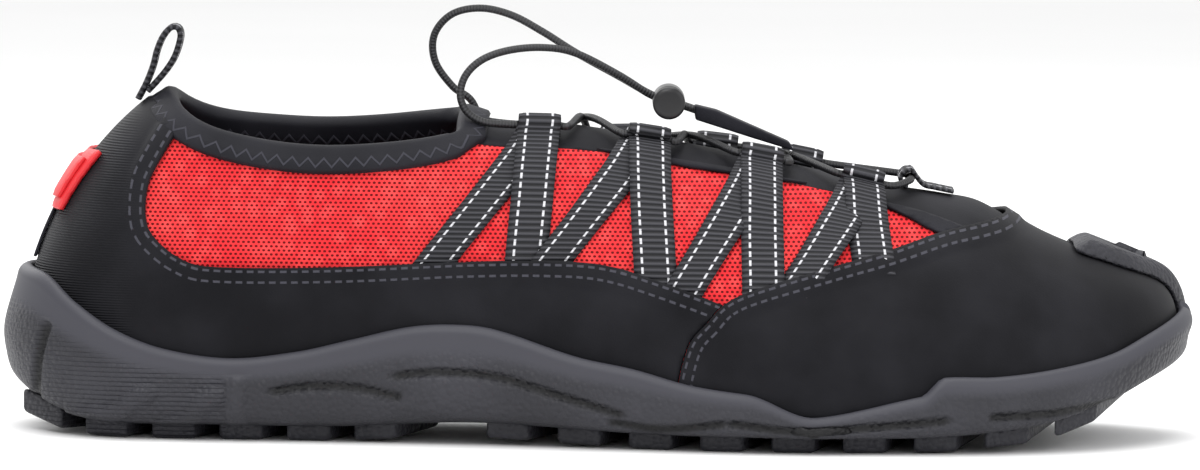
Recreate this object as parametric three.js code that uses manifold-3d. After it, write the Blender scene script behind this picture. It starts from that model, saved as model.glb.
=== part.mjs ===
// Water shoe for the right foot: a stretch upper in a rubber cup sole, laced with an elastic cord
// through webbing straps. Millimetres, +Z up, +X to the toe, -Y to the outer (lateral) side.
// The origin lies on the floor, under the middle of the shoe.
import * as THREE from "three";
import { mergeVertices } from "three/addons/utils/BufferGeometryUtils.js";
import Module from "manifold-3d";

const wasm = await Module();
wasm.setup();

// Driving sizes
const SHOE_LENGTH = 285;
const BALL_WIDTH = 104;
const HEEL_HEIGHT = 83;
const INSTEP_HEIGHT = 77;
const UPPER_WALL = 2;
const TONGUE_WALL = 1.6;
const OVERLAY = 1;
const INSOLE = 3.5;
const FIT = 0.3;

// Overlay and webbing sizes. BAND_STEP: how far a folded band stands off its panel. STRAP_STEP: how far
// above the eyestay's edge a strap steps up onto it.
const BAND_STEP = 0.5;
const TOE_BAND = 4.5;
const BINDING = 5.8;
const EYESTAY = 0.7;
const WEBBING = 1.2;
const WEBBING_SHARE = 0.035;
const STRAP_STEP = 2;

// Cord and lock sizes
const CORD_RADIUS = 0.9;
const EYE_RADIUS = 1.45;
const EYE_WALL = 1.05;
const EYE_RISE = 2.9;
const EYE_REACH = 5;
const EYE_LEAD = 2.2;
const BAR_RISE = 1.9;
const LOCK_RADIUS = 3.9;
const LOCK_LENGTH = 14;
const LOCK_BORE = 2.6;
const LOCK_BORE_DEPTH = 4.9;
const PLUNGER_HEAD = 2.4;
const PLUNGER_STEM = 2.2;
const PLUNGER_TRAVEL = 2.5;
const CORD_SPACING = 3.2;
const TAB_MARGIN = 2.9;
const TAB_RISE = 4;
const TAPE = 0.7;
const TAPE_HALF = 4.5;
const LOOP_THICKNESS = 1.9;
const BADGE_STEP = 1.1;

// Sole sizes
const SOLE_FLANGE = 5;
const LIP = 2.4;
const LUG_HEIGHT = 3.5;
const LUG_LENGTH = 11;
const LUG_PITCH = 17.5;
const LUG_SWEEP = 12;
const LUG_INSET = 3.5;
const LUG_TAPER = 1.5;
const LUG_ROOT = 1.5;
const BUMPER = 3.4;
const BUMPER_ROUND = 1.6;
const GROOVE_DEPTH = 1;
const GROOVE_WIDTH = 1.3;
const RIB_RISE = 0.8;
const CUP_CLEARANCE = OVERLAY + 2 * FIT;

// Mesh density
const STATIONS = 23;
const ROWS = 8;
const SPAN_STEPS = 8;
const KEEPER_STEPS = 16;
const LOOP_STEPS = 40;
const SLIM = 0.06;
const FAR = 90;

const LATERAL = -1;
const MEDIAL = 1;

// Sections of the last, heel to toe. at: share of the length. lateral, medial: the sole's widest line
// from the centre line, and centre: that line's own place, as shares of the ball width. edge: height of
// the upper's lower edge, a share of the heel height. low, shoulder: how upright the wall leaves the
// sole and how flat the roof is. flare: how far the wall leans out, a share of the sole flange.
const SECTIONS = [
  { at: 0.0, lateral: 0.345, medial: 0.345, centre: 0.0, edge: 0.16, low: 0.56, shoulder: 0.5, flare: 0 },
  { at: 0.06, lateral: 0.345, medial: 0.345, centre: 0.0, edge: 0.15, low: 0.62, shoulder: 0.56, flare: 0.2 },
  { at: 0.14, lateral: 0.352, medial: 0.345, centre: 0.0, edge: 0.145, low: 0.66, shoulder: 0.64, flare: 0.3 },
  { at: 0.28, lateral: 0.355, medial: 0.315, centre: -0.015, edge: 0.145, low: 0.7, shoulder: 0.7, flare: 0.2 },
  { at: 0.4, lateral: 0.37, medial: 0.3, centre: -0.035, edge: 0.14, low: 0.62, shoulder: 0.72, flare: 0.2 },
  { at: 0.52, lateral: 0.43, medial: 0.35, centre: -0.03, edge: 0.12, low: 0.55, shoulder: 0.72, flare: 0.3 },
  { at: 0.64, lateral: 0.49, medial: 0.455, centre: -0.0126, edge: 0.1, low: 0.5, shoulder: 0.66, flare: 0.4 },
  { at: 0.74, lateral: 0.51, medial: 0.47, centre: 0.0274, edge: 0.1, low: 0.5, shoulder: 0.62, flare: 0.4 },
  { at: 0.84, lateral: 0.53, medial: 0.43, centre: 0.07, edge: 0.115, low: 0.52, shoulder: 0.58, flare: 0.3 },
  { at: 0.92, lateral: 0.55, medial: 0.39, centre: 0.115, edge: 0.17, low: 0.62, shoulder: 0.56, flare: 0.4 },
  { at: 1.0, lateral: 0.55, medial: 0.37, centre: 0.14, edge: 0.27, low: 0.78, shoulder: 0.55, flare: 0.8 },
];

// The crest, where the two sides of the last meet. at: share of the length. height: share of the instep
// height. side: share of the ball width. Behind the collar's front it is the last's ankle cone.
const CREST = [
  { at: 0.27, height: 1.195, side: 0.0 },
  { at: 0.32, height: 1.195, side: 0.0 },
  { at: 0.35, height: 1.12, side: 0.0 },
  { at: 0.384, height: 1.0, side: 0.0 },
  { at: 0.48, height: 0.962, side: 0.01 },
  { at: 0.562, height: 0.915, side: 0.02 },
  { at: 0.65, height: 0.855, side: 0.03 },
  { at: 0.735, height: 0.79, side: 0.04 },
  { at: 0.79, height: 0.76, side: 0.05 },
  { at: 0.82, height: 0.736, side: 0.06 },
  { at: 0.87, height: 0.63, side: 0.08 },
  { at: 0.92, height: 0.55, side: 0.11 },
  { at: 0.955, height: 0.495, side: 0.13 },
];

// The collar's edge. at: share of the length. lateral, medial: heights as shares of the heel height.
const COLLAR = [
  { at: 0.129, lateral: 1.0, medial: 1.0 },
  { at: 0.144, lateral: 0.935, medial: 0.945 },
  { at: 0.158, lateral: 0.9, medial: 0.915 },
  { at: 0.18, lateral: 0.868, medial: 0.893 },
  { at: 0.224, lateral: 0.837, medial: 0.88 },
  { at: 0.268, lateral: 0.825, medial: 0.876 },
  { at: 0.313, lateral: 0.832, medial: 0.886 },
  { at: 0.357, lateral: 0.848, medial: 0.905 },
  { at: 0.384, lateral: 0.866, medial: 0.918 },
];

// The throat's edges seen from above. at: share of the length. lateral, medial: shares of the ball width.
const THROAT = [
  { at: 0.384, lateral: 0.19, medial: 0.19 },
  { at: 0.48, lateral: 0.18, medial: 0.185 },
  { at: 0.6, lateral: 0.16, medial: 0.175 },
  { at: 0.7, lateral: 0.145, medial: 0.185 },
  { at: 0.76, lateral: 0.155, medial: 0.215 },
  { at: 0.81, lateral: 0.19, medial: 0.25 },
  { at: 0.85, lateral: 0.17, medial: 0.23 },
  { at: 0.875, lateral: 0.06, medial: 0.12 },
];

// The sole's side. at: share of the length. tread: height of the tread's face between the lugs, and
// lateral, medial: heights of the side's top edge, as shares of the heel height.
const SOLE = [
  { at: 0.0, tread: 0.13, lateral: 0.475, medial: 0.475 },
  { at: 0.025, tread: 0.085, lateral: 0.455, medial: 0.455 },
  { at: 0.055, tread: 0.055, lateral: 0.39, medial: 0.39 },
  { at: 0.095, tread: 0.043, lateral: 0.315, medial: 0.315 },
  { at: 0.14, tread: 0.042, lateral: 0.262, medial: 0.262 },
  { at: 0.195, tread: 0.042, lateral: 0.238, medial: 0.242 },
  { at: 0.25, tread: 0.042, lateral: 0.26, medial: 0.27 },
  { at: 0.294, tread: 0.045, lateral: 0.296, medial: 0.315 },
  { at: 0.342, tread: 0.055, lateral: 0.336, medial: 0.36 },
  { at: 0.377, tread: 0.062, lateral: 0.346, medial: 0.378 },
  { at: 0.412, tread: 0.062, lateral: 0.336, medial: 0.375 },
  { at: 0.481, tread: 0.052, lateral: 0.264, medial: 0.3 },
  { at: 0.528, tread: 0.045, lateral: 0.233, medial: 0.25 },
  { at: 0.574, tread: 0.042, lateral: 0.192, medial: 0.205 },
  { at: 0.621, tread: 0.042, lateral: 0.17, medial: 0.175 },
  { at: 0.68, tread: 0.042, lateral: 0.2, medial: 0.16 },
  { at: 0.78, tread: 0.045, lateral: 0.219, medial: 0.175 },
  { at: 0.83, tread: 0.058, lateral: 0.222, medial: 0.21 },
  { at: 0.88, tread: 0.08, lateral: 0.24, medial: 0.25 },
  { at: 0.93, tread: 0.13, lateral: 0.275, medial: 0.3 },
  { at: 0.965, tread: 0.18, lateral: 0.325, medial: 0.35 },
  { at: 1.0, tread: 0.225, lateral: 0.375, medial: 0.39 },
];

// Value of a table's column at a share of the length, on a smooth curve through its rows
function lookup(table, column, at) {
  const last = table.length - 1;
  const place = Math.min(Math.max(at, table[0].at), table[last].at);
  let row = 0;
  while (row < last - 1 && place > table[row + 1].at) row += 1;
  const from = table[row];
  const to = table[row + 1];
  const before = table[Math.max(row - 1, 0)];
  const after = table[Math.min(row + 2, last)];
  const span = to.at - from.at;
  const share = (place - from.at) / span;
  const slopeFrom = ((to[column] - before[column]) / (to.at - before.at)) * span;
  const slopeTo = ((after[column] - from[column]) / (after.at - from.at)) * span;
  const square = share * share;
  const cube = square * share;
  return (
    (2 * cube - 3 * square + 1) * from[column] +
    (cube - 2 * square + share) * slopeFrom +
    (3 * square - 2 * cube) * to[column] +
    (cube - square) * slopeTo
  );
}

const sideColumn = (side) => (side === LATERAL ? "lateral" : "medial");
const alongX = (at) => (at - 0.5) * SHOE_LENGTH;
const atX = (x) => x / SHOE_LENGTH + 0.5;
const mix = (from, to, share) => from + (to - from) * share;

// A rounded end: the half width's share at a distance from the tip, on a superellipse
function rounding(distance, radius, power) {
  const short = Math.max(1 - distance / radius, 0);
  return Math.pow(1 - Math.pow(short, power), 1 / power);
}

const HEEL_ROUND = { radius: 0.13, power: 2.1 };
const TOE_ROUND = { radius: 0.24, power: 2.15 };

// Point of the sole's widest line: share runs from the heel's back to the toe's tip
function outlinePoint(side, share) {
  const at = (1 - Math.cos(Math.PI * share)) / 2;
  const centre = lookup(SECTIONS, "centre", at) * BALL_WIDTH;
  const width = lookup(SECTIONS, sideColumn(side), at) * BALL_WIDTH;
  const heel = rounding(at, HEEL_ROUND.radius, HEEL_ROUND.power);
  const toe = rounding(1 - at, TOE_ROUND.radius, TOE_ROUND.power);
  return new THREE.Vector2(alongX(at), centre + side * width * heel * toe);
}

// Outward direction of the widest line at a station
function outlineNormal(side, share) {
  if (share <= 0) return new THREE.Vector2(-1, 0);
  if (share >= 1) return new THREE.Vector2(1, 0);
  const step = 0.004;
  const before = outlinePoint(side, Math.max(share - step, 0));
  const after = outlinePoint(side, Math.min(share + step, 1));
  const run = after.sub(before).normalize();
  return new THREE.Vector2(-run.y * side, run.x * side);
}

// One arch of the last: its foot on the sole, its top on the crest, and its shape between them
function arch(side, share) {
  const edge = outlinePoint(side, share);
  const out = outlineNormal(side, share);
  const foot = edge.clone().addScaledVector(out, -SOLE_FLANGE);
  const at = atX(foot.x);
  const heelLean = 0.235 * (1 - THREE.MathUtils.smoothstep(at, 0.02, 0.42));
  const toeLean = 0.03 * THREE.MathUtils.smoothstep(at, 0.8, 0.985);
  const crestAt = at + heelLean - toeLean;
  return {
    foot,
    out,
    edge: lookup(SECTIONS, "edge", at) * HEEL_HEIGHT,
    low: lookup(SECTIONS, "low", at),
    shoulder: lookup(SECTIONS, "shoulder", at),
    flare: lookup(SECTIONS, "flare", at) * SOLE_FLANGE,
    top: new THREE.Vector2(alongX(crestAt), lookup(CREST, "side", crestAt) * BALL_WIDTH),
    crest: lookup(CREST, "height", crestAt) * INSTEP_HEIGHT,
  };
}

// Point of an arch: turn runs from the foot to the crest
function archPoint(shape, turn) {
  const rest = 1 - turn;
  const early = 3 * rest * rest * turn;
  const late = 3 * rest * turn * turn;
  const end = turn * turn * turn;
  const inward = late * (1 - shape.shoulder) + end;
  const upward = early * shape.low + late + end;
  const point = shape.foot.clone().lerp(shape.top, inward);
  point.addScaledVector(shape.out, early * shape.flare);
  return new THREE.Vector3(point.x, point.y, mix(shape.edge, shape.crest, upward));
}

// Point of an arch at a height
function archAtHeight(shape, height) {
  let low = 0;
  let high = 1;
  for (let step = 0; step < 24; step += 1) {
    const middle = (low + high) / 2;
    if (archPoint(shape, middle).z < height) low = middle;
    else high = middle;
  }
  return archPoint(shape, low);
}

// Ring of stations: the lateral side from heel to toe, then the medial side back again
const ring = [];
for (let step = 0; step <= STATIONS; step += 1) ring.push({ side: LATERAL, share: step / STATIONS });
for (let step = STATIONS - 1; step > 0; step -= 1) ring.push({ side: MEDIAL, share: step / STATIONS });
const arches = ring.map((station) => arch(station.side, station.share));

// Manifold solid of a closed three.js geometry
function toSolid(geometry) {
  const bare = geometry.clone();
  bare.deleteAttribute("normal");
  bare.deleteAttribute("uv");
  const merged = mergeVertices(bare, 1e-4);
  return new wasm.Manifold(
    new wasm.Mesh({
      numProp: 3,
      vertProperties: merged.attributes.position.array,
      triVerts: new Uint32Array(merged.index.array),
    }),
  );
}

// Closed solid from rings of points, bottom ring first; its two ends are closed by strips across
function ringSolid(rings) {
  const count = rings[0].length;
  const corners = [];
  const face = (a, b, c) => corners.push(a, b, c);
  for (let level = 0; level < rings.length - 1; level += 1) {
    for (let step = 0; step < count; step += 1) {
      const next = (step + 1) % count;
      face(rings[level][step], rings[level][next], rings[level + 1][next]);
      face(rings[level][step], rings[level + 1][next], rings[level + 1][step]);
    }
  }
  const half = count / 2;
  const mirrored = (step) => (count - step) % count;
  const bottom = rings[0];
  const top = rings[rings.length - 1];
  for (let step = 0; step < half; step += 1) {
    const a = mirrored(step);
    const b = mirrored(step + 1);
    face(bottom[step], bottom[a], bottom[b]);
    face(bottom[step], bottom[b], bottom[step + 1]);
    face(top[step], top[b], top[a]);
    face(top[step], top[step + 1], top[b]);
  }
  const positions = new Float32Array(corners.length * 3);
  corners.forEach((corner, index) => corner.toArray(positions, index * 3));
  const geometry = new THREE.BufferGeometry();
  geometry.setAttribute("position", new THREE.BufferAttribute(positions, 3));
  return toSolid(withoutSlivers(geometry));
}

// Geometry with the triangles of no area left out
function withoutSlivers(geometry) {
  const merged = mergeVertices(geometry, 1e-4);
  const index = merged.index.array;
  const kept = [];
  for (let step = 0; step < index.length; step += 3) {
    const [a, b, c] = [index[step], index[step + 1], index[step + 2]];
    if (a !== b && b !== c && a !== c) kept.push(a, b, c);
  }
  merged.setIndex(kept);
  return merged;
}

// Surface of the last as rings of points, with each point's outward normal
const lastRings = [];
for (let row = 0; row <= ROWS; row += 1) lastRings.push(arches.map((shape) => archPoint(shape, row / ROWS)));

function surfaceNormals(rings) {
  const count = rings[0].length;
  const top = rings.length - 1;
  return rings.map((points, level) =>
    points.map((point, step) => {
      const next = points[(step + 1) % count];
      const before = points[(step + count - 1) % count];
      const mirror = (count - step) % count;
      const above = level < top ? rings[level + 1][step] : rings[top - 1][mirror];
      const below = level > 0 ? rings[level - 1][step] : point;
      let round = next.clone().sub(before);
      if (level === top) {
        const ahead = rings[top][Math.min(step <= count / 2 ? step + 1 : count - step + 1, count / 2)];
        const behind = rings[top][Math.max(step <= count / 2 ? step - 1 : count - step - 1, 0)];
        round = ahead.clone().sub(behind);
        const across = rings[top - 1][step].clone().sub(rings[top - 1][mirror]);
        if (across.y > 0) across.negate();
        return round.cross(across.negate()).normalize();
      }
      return round.cross(above.clone().sub(below)).normalize();
    }),
  );
}
const lastNormals = surfaceNormals(lastRings);

// The last grown by an offset, its lower edge reaching down by drop
function lastForm(offset, drop = 0) {
  const rings = lastRings.map((points, level) =>
    points.map((point, step) => point.clone().addScaledVector(lastNormals[level][step], offset)),
  );
  rings[0] = lastRings[0].map((point, step) => {
    const out = arches[step].out;
    return new THREE.Vector3(point.x + out.x * offset, point.y + out.y * offset, point.z);
  });
  if (drop > 0) rings.unshift(rings[0].map((point) => new THREE.Vector3(point.x, point.y, point.z - drop)));
  return ringSolid(rings);
}

// Prism of an outline drawn in the side view, from one depth to another
function sidePrism(outline, from, to) {
  const geometry = new THREE.ExtrudeGeometry(outline, { depth: to - from, bevelEnabled: false });
  geometry.rotateX(Math.PI / 2);
  geometry.translate(0, to, 0);
  return toSolid(geometry);
}

// Prism of an outline drawn in the top view, from one height to another
function topPrism(outline, from, to) {
  const geometry = new THREE.ExtrudeGeometry(outline, { depth: to - from, bevelEnabled: false });
  geometry.translate(0, 0, from);
  return toSolid(geometry);
}

const polygon = (points) => new THREE.Shape(points.map(([x, y]) => new THREE.Vector2(x, y)));
const unite = (solids) => solids.reduce((whole, solid) => whole.add(solid));

// The largest body of a solid, without the crumbs that a cut leaves
const mainBody = (solid) => solid.decompose().sort((one, other) => other.volume() - one.volume())[0];

const oneSide = (side, outline) => (side === LATERAL ? sidePrism(outline, -FAR, 0) : sidePrism(outline, 0, FAR));

// Everything above a line that runs lower than the collar's edge, on both sides of the shoe
function aboveCollar(lower = 0, ahead = 0) {
  const sides = [LATERAL, MEDIAL].map((side) => {
    const points = COLLAR.map((row) => [alongX(row.at), row[sideColumn(side)] * HEEL_HEIGHT - lower]);
    const front = points[points.length - 1][0] + ahead;
    const back = points[0][0];
    points[points.length - 1][0] = front;
    points.push([front, 2 * HEEL_HEIGHT], [back - FAR, 2 * HEEL_HEIGHT], [back - FAR, points[0][1]]);
    return oneSide(side, polygon(points));
  });
  return unite(sides);
}

// The throat's outline from above, drawn in by a clearance
function throatOutline(clearance, backAt) {
  const lateral = THROAT.map((row) => [alongX(row.at), -row.lateral * BALL_WIDTH + clearance]);
  const medial = THROAT.map((row) => [alongX(row.at), row.medial * BALL_WIDTH - clearance]);
  const front = alongX(THROAT[THROAT.length - 1].at) + 1.5 * SOLE_FLANGE - clearance;
  const back = alongX(backAt);
  lateral[0][0] = back;
  medial[0][0] = back;
  const centre = lookup(CREST, "side", atX(front)) * BALL_WIDTH;
  return polygon([...lateral, [front, centre], ...medial.reverse()]);
}

const COLLAR_FRONT = COLLAR[COLLAR.length - 1].at;
const collarOpening = aboveCollar();

function buildUpper() {
  const shell = lastForm(0).subtract(lastForm(-UPPER_WALL, 2 * INSOLE));
  const throat = topPrism(throatOutline(0, COLLAR_FRONT - 0.001), INSTEP_HEIGHT / 2, 2 * INSTEP_HEIGHT);
  return shell.subtract(collarOpening).subtract(throat);
}

function buildTongue() {
  const layer = lastForm(0).subtract(lastForm(-TONGUE_WALL, 2 * INSOLE));
  const throat = topPrism(throatOutline(FIT, COLLAR_FRONT), INSTEP_HEIGHT / 2, 2 * INSTEP_HEIGHT);
  return layer.intersect(throat);
}

// The foot bed: a slab that follows the cup's floor
function buildInsole() {
  const stations = SECTIONS.map((row) => row.at);
  const floorPoint = (at, rise) => [alongX(at), lookup(SECTIONS, "edge", at) * HEEL_HEIGHT + rise];
  const lower = stations.map((at) => floorPoint(at, 0));
  const upper = stations.map((at) => floorPoint(at, INSOLE)).reverse();
  const slab = sidePrism(polygon([...lower, ...upper]), -FAR, FAR);
  return lastForm(-UPPER_WALL - FIT, 2 * INSOLE).intersect(slab);
}

// Steps of the sole's side, from the tread's edge to the top lip. rise: share of the side's height.
// out: how far the step stands off the sole's widest line, as a share of the flange.
const SIDE_STEPS = [
  { rise: 0, out: -1.7 },
  { rise: 0.07, out: -0.55 },
  { rise: 0.25, out: -0.12 },
  { rise: 0.5, out: 0 },
];
const LIP_STEPS = [
  { below: 3.5, out: 0.8 },
  { below: 0.8, out: 0.15 },
  { below: 0, out: -0.5 },
];

function soleForm(grow = 0) {
  const rings = [];
  for (const step of SIDE_STEPS) {
    rings.push(
      ring.map((station) => {
        const out = outlineNormal(station.side, station.share);
        const point = outlinePoint(station.side, station.share);
        const at = atX(point.x);
        const tread = lookup(SOLE, "tread", at) * HEEL_HEIGHT;
        const top = lookup(SOLE, sideColumn(station.side), at) * HEEL_HEIGHT;
        point.addScaledVector(out, step.out * SOLE_FLANGE + grow);
        return new THREE.Vector3(point.x, point.y, mix(tread, top, step.rise));
      }),
    );
  }
  for (const step of LIP_STEPS) {
    rings.push(
      ring.map((station, index) => {
        const at = atX(outlinePoint(station.side, station.share).x);
        const height = lookup(SOLE, sideColumn(station.side), at) * HEEL_HEIGHT - step.below;
        const wall = archAtHeight(arches[index], height);
        const out = arches[index].out.clone().multiplyScalar(CUP_CLEARANCE + LIP + step.out + grow);
        return new THREE.Vector3(wall.x + out.x, wall.y + out.y, height);
      }),
    );
  }
  return ringSolid(rings);
}

// Cross bars of the tread. from, to: the first and last bar's place, as shares of the length.
const TREAD_ZONES = [
  { from: 0.05, to: 0.33 },
  { from: 0.44, to: 0.94 },
];

// Space that the lugs may fill, from the ground up into the sole
function lugSpace() {
  const ringAt = (out, height) =>
    ring.map((station) => {
      const point = outlinePoint(station.side, station.share);
      const at = atX(point.x);
      const tread = lookup(SOLE, "tread", at) * HEEL_HEIGHT;
      point.addScaledVector(outlineNormal(station.side, station.share), out);
      return new THREE.Vector3(point.x, point.y, height(tread, at));
    });
  const ground = ringAt(-LUG_INSET - LUG_TAPER, (tread, at) => {
    const fade = 1 - 0.5 * THREE.MathUtils.smoothstep(at, 0.86, 0.96);
    return Math.max(tread - LUG_HEIGHT * fade, 0);
  });
  const root = ringAt(-LUG_INSET, (tread) => tread + LUG_ROOT);
  return ringSolid([ground, root]);
}

// One V-shaped bar seen from below, its point to the toe
function lugBar(x) {
  const outline = [
    [x - LUG_SWEEP, -FAR],
    [x, 0],
    [x - LUG_SWEEP, FAR],
    [x - LUG_SWEEP + LUG_LENGTH, FAR],
    [x + LUG_LENGTH, 0],
    [x - LUG_SWEEP + LUG_LENGTH, -FAR],
  ];
  return topPrism(polygon(outline), -LUG_HEIGHT, HEEL_HEIGHT / 2);
}

function buildLugs() {
  const bars = [];
  for (const zone of TREAD_ZONES) {
    const span = (zone.to - zone.from) * SHOE_LENGTH;
    const count = Math.round(span / LUG_PITCH);
    for (let step = 0; step <= count; step += 1) bars.push(lugBar(alongX(zone.from) + (span * step) / count));
  }
  return lugSpace().intersect(unite(bars));
}

// Outline of a stroke along a curve in the side view; tip: its ends' share of the width
function stroke(points, width, tip = 1) {
  const curve = new THREE.SplineCurve(points.map(([x, y]) => new THREE.Vector2(x, y)));
  const count = 2 * (points.length - 1);
  const left = [];
  const right = [];
  for (let step = 0; step <= count; step += 1) {
    const share = step / count;
    const point = curve.getPoint(share);
    const run = curve.getTangent(share);
    const half = (width / 2) * mix(tip, 1, Math.sin(Math.PI * share));
    left.push([point.x - run.y * half, point.y + run.x * half]);
    right.push([point.x + run.y * half, point.y - run.x * half]);
  }
  return polygon([...right, ...left.reverse()]);
}

const sidePoints = (rows) => rows.map((row) => [alongX(row.at), row.height * HEEL_HEIGHT]);

// Grooves of the sole's side. at: share of the length. height: share of the heel height.
const GROOVES = [
  [
    { at: 0.232, height: 0.149 },
    { at: 0.262, height: 0.165 },
    { at: 0.3, height: 0.164 },
    { at: 0.335, height: 0.14 },
  ],
  [
    { at: 0.333, height: 0.2 },
    { at: 0.367, height: 0.213 },
    { at: 0.413, height: 0.205 },
    { at: 0.459, height: 0.163 },
    { at: 0.519, height: 0.105 },
  ],
  [
    { at: 0.513, height: 0.083 },
    { at: 0.552, height: 0.067 },
    { at: 0.602, height: 0.085 },
  ],
  [
    { at: 0.609, height: 0.088 },
    { at: 0.662, height: 0.07 },
    { at: 0.715, height: 0.079 },
    { at: 0.786, height: 0.101 },
  ],
  [
    { at: 0.826, height: 0.111 },
    { at: 0.875, height: 0.118 },
    { at: 0.925, height: 0.14 },
  ],
  [
    { at: 0.049, height: 0.375 },
    { at: 0.04, height: 0.298 },
    { at: 0.034, height: 0.21 },
    { at: 0.032, height: 0.097 },
  ],
];

// Raised curved bars that climb the heel's side from the tread
const HEEL_BARS = [
  [
    { at: 0.062, height: 0.05 },
    { at: 0.099, height: 0.07 },
    { at: 0.118, height: 0.123 },
    { at: 0.128, height: 0.137 },
  ],
  [
    { at: 0.138, height: 0.035 },
    { at: 0.16, height: 0.052 },
    { at: 0.172, height: 0.111 },
    { at: 0.185, height: 0.131 },
  ],
];
const HEEL_BAR_WIDTH = 4.5;

// Blocks at the back of the heel. low, high: shares of the heel height.
const BACK_BLOCKS = [
  { low: 0.31, high: 0.36 },
  { low: 0.16, high: 0.26 },
];
const BACK_BLOCK_REACH = 8;
const BACK_BLOCK_HALF = 16;

// Upright bar at the front end of the heel's ribbed side
const UPRIGHT = { at: 0.201, height: 0.2 };

// Toe bumper seen from above: its edge on top of the toe. at, side: shares of length and ball width.
const BUMPER_EDGE = [
  { at: 0.99, side: 0.16 },
  { at: 0.97, side: 0.085 },
  { at: 0.945, side: 0.016 },
  { at: 0.921, side: -0.02 },
  { at: 0.9, side: -0.043 },
  { at: 0.896, side: -0.02 },
  { at: 0.896, side: 0.05 },
  { at: 0.894, side: 0.24 },
  { at: 0.884, side: 0.4 },
  { at: 0.866, side: 0.56 },
];

// Step in the lateral top edge, where the toe guard begins. at: share of length. height: of heel height.
const GUARD_STEP = [
  { at: 0.62, height: 0.17 },
  { at: 0.658, height: 0.153 },
  { at: 0.71, height: 0.143 },
  { at: 0.782, height: 0.151 },
  { at: 0.789, height: 0.16 },
  { at: 0.769, height: 0.219 },
  { at: 0.769, height: 0.5 },
  { at: 0.62, height: 0.5 },
];

// Outer skin of the sole's side, from one depth to another
const soleSkin = (from, to) => soleForm(to).subtract(soleForm(from));

function buildGrooves() {
  const strokes = GROOVES.map((rows) => sidePrism(stroke(sidePoints(rows), GROOVE_WIDTH, 0.3), -FAR, FAR));
  return unite(strokes).subtract(soleForm(-GROOVE_DEPTH));
}

function buildHeelRelief() {
  const space = soleSkin(-GROOVE_DEPTH, RIB_RISE);
  const bars = HEEL_BARS.map((rows) => sidePrism(stroke(sidePoints(rows), HEEL_BAR_WIDTH, 0.6), -FAR, FAR));
  const bar = alongX(UPRIGHT.at);
  const barTop = UPRIGHT.height * HEEL_HEIGHT;
  const upright = [[bar, LUG_HEIGHT], [bar + 2, LUG_HEIGHT], [bar + 2, barTop], [bar, barTop]];
  const back = alongX(0) + BACK_BLOCK_REACH;
  const blocks = BACK_BLOCKS.map((row) => {
    const [low, high] = [row.low * HEEL_HEIGHT, row.high * HEEL_HEIGHT];
    const outline = polygon([[back - FAR, low], [back, low], [back, high], [back - FAR, high]]);
    return sidePrism(outline, -BACK_BLOCK_HALF, BACK_BLOCK_HALF);
  });
  return unite([...bars, sidePrism(polygon(upright), -FAR, FAR), ...blocks]).intersect(space);
}

function buildBumper() {
  const ahead = alongX(1) + SOLE_FLANGE;
  const low = lookup(SOLE, "tread", 1) * HEEL_HEIGHT + LUG_HEIGHT;
  const level = (inset, thickness) => {
    const edge = BUMPER_EDGE.map((row) => [alongX(row.at) + inset, row.side * BALL_WIDTH + inset]).reverse();
    const outline = polygon([...edge, [ahead, edge[edge.length - 1][1]], [ahead, edge[0][1]]]);
    return lastForm(CUP_CLEARANCE + thickness).intersect(topPrism(outline, low, HEEL_HEIGHT));
  };
  return level(0, BUMPER / 2).add(level(BUMPER_ROUND, BUMPER));
}

function buildOutsole() {
  const step = oneSide(LATERAL, polygon(sidePoints(GUARD_STEP)));
  const body = unite([soleForm(), buildLugs(), buildHeelRelief()]).subtract(buildGrooves()).subtract(step);
  return body.add(buildBumper()).subtract(lastForm(CUP_CLEARANCE, FIT));
}

// Lines of the upper's panels in the side view, both sides alike. at: share of length. height: of the
// heel height. WINDOW: the mesh's lower edge. BAND: the folded band's outer edge round it.
const WINDOW = [
  { at: 0.148, height: 0.86 },
  { at: 0.135, height: 0.783 },
  { at: 0.126, height: 0.715 },
  { at: 0.125, height: 0.617 },
  { at: 0.134, height: 0.565 },
  { at: 0.154, height: 0.515 },
  { at: 0.181, height: 0.494 },
  { at: 0.27, height: 0.497 },
  { at: 0.388, height: 0.518 },
  { at: 0.457, height: 0.524 },
  { at: 0.504, height: 0.515 },
  { at: 0.551, height: 0.471 },
  { at: 0.62, height: 0.39 },
];
const BAND = [
  { at: 0.128, height: 0.86 },
  { at: 0.109, height: 0.704 },
  { at: 0.109, height: 0.607 },
  { at: 0.124, height: 0.51 },
  { at: 0.153, height: 0.442 },
  { at: 0.2, height: 0.42 },
  { at: 0.286, height: 0.435 },
  { at: 0.411, height: 0.466 },
  { at: 0.504, height: 0.448 },
  { at: 0.62, height: 0.335 },
];
const TOE_EDGE = [
  { at: 0.566, height: 0 },
  { at: 0.568, height: 0.218 },
  { at: 0.576, height: 0.309 },
  { at: 0.589, height: 0.36 },
  { at: 0.604, height: 0.415 },
  { at: 0.631, height: 0.455 },
  { at: 0.693, height: 0.514 },
  { at: 0.738, height: 0.553 },
  { at: 0.783, height: 0.6 },
  { at: 0.84, height: 0.642 },
  { at: 0.858, height: 0.68 },
  { at: 0.862, height: 1.2 },
];
const EYESTAY_EDGE = [
  { at: 0.402, height: 0.848 },
  { at: 0.423, height: 0.863 },
  { at: 0.475, height: 0.839 },
  { at: 0.508, height: 0.821 },
  { at: 0.562, height: 0.788 },
  { at: 0.651, height: 0.744 },
  { at: 0.691, height: 0.724 },
  { at: 0.74, height: 0.67 },
  { at: 0.781, height: 0.605 },
  { at: 0.83, height: 0.56 },
];

const shifted = (rows, x, z) => sidePoints(rows).map(([a, b]) => [a + x, b + z]);

// Layer between two larger forms of the last
const layer = (from, to) => lastForm(to).subtract(lastForm(from, 2 * INSOLE));

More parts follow.
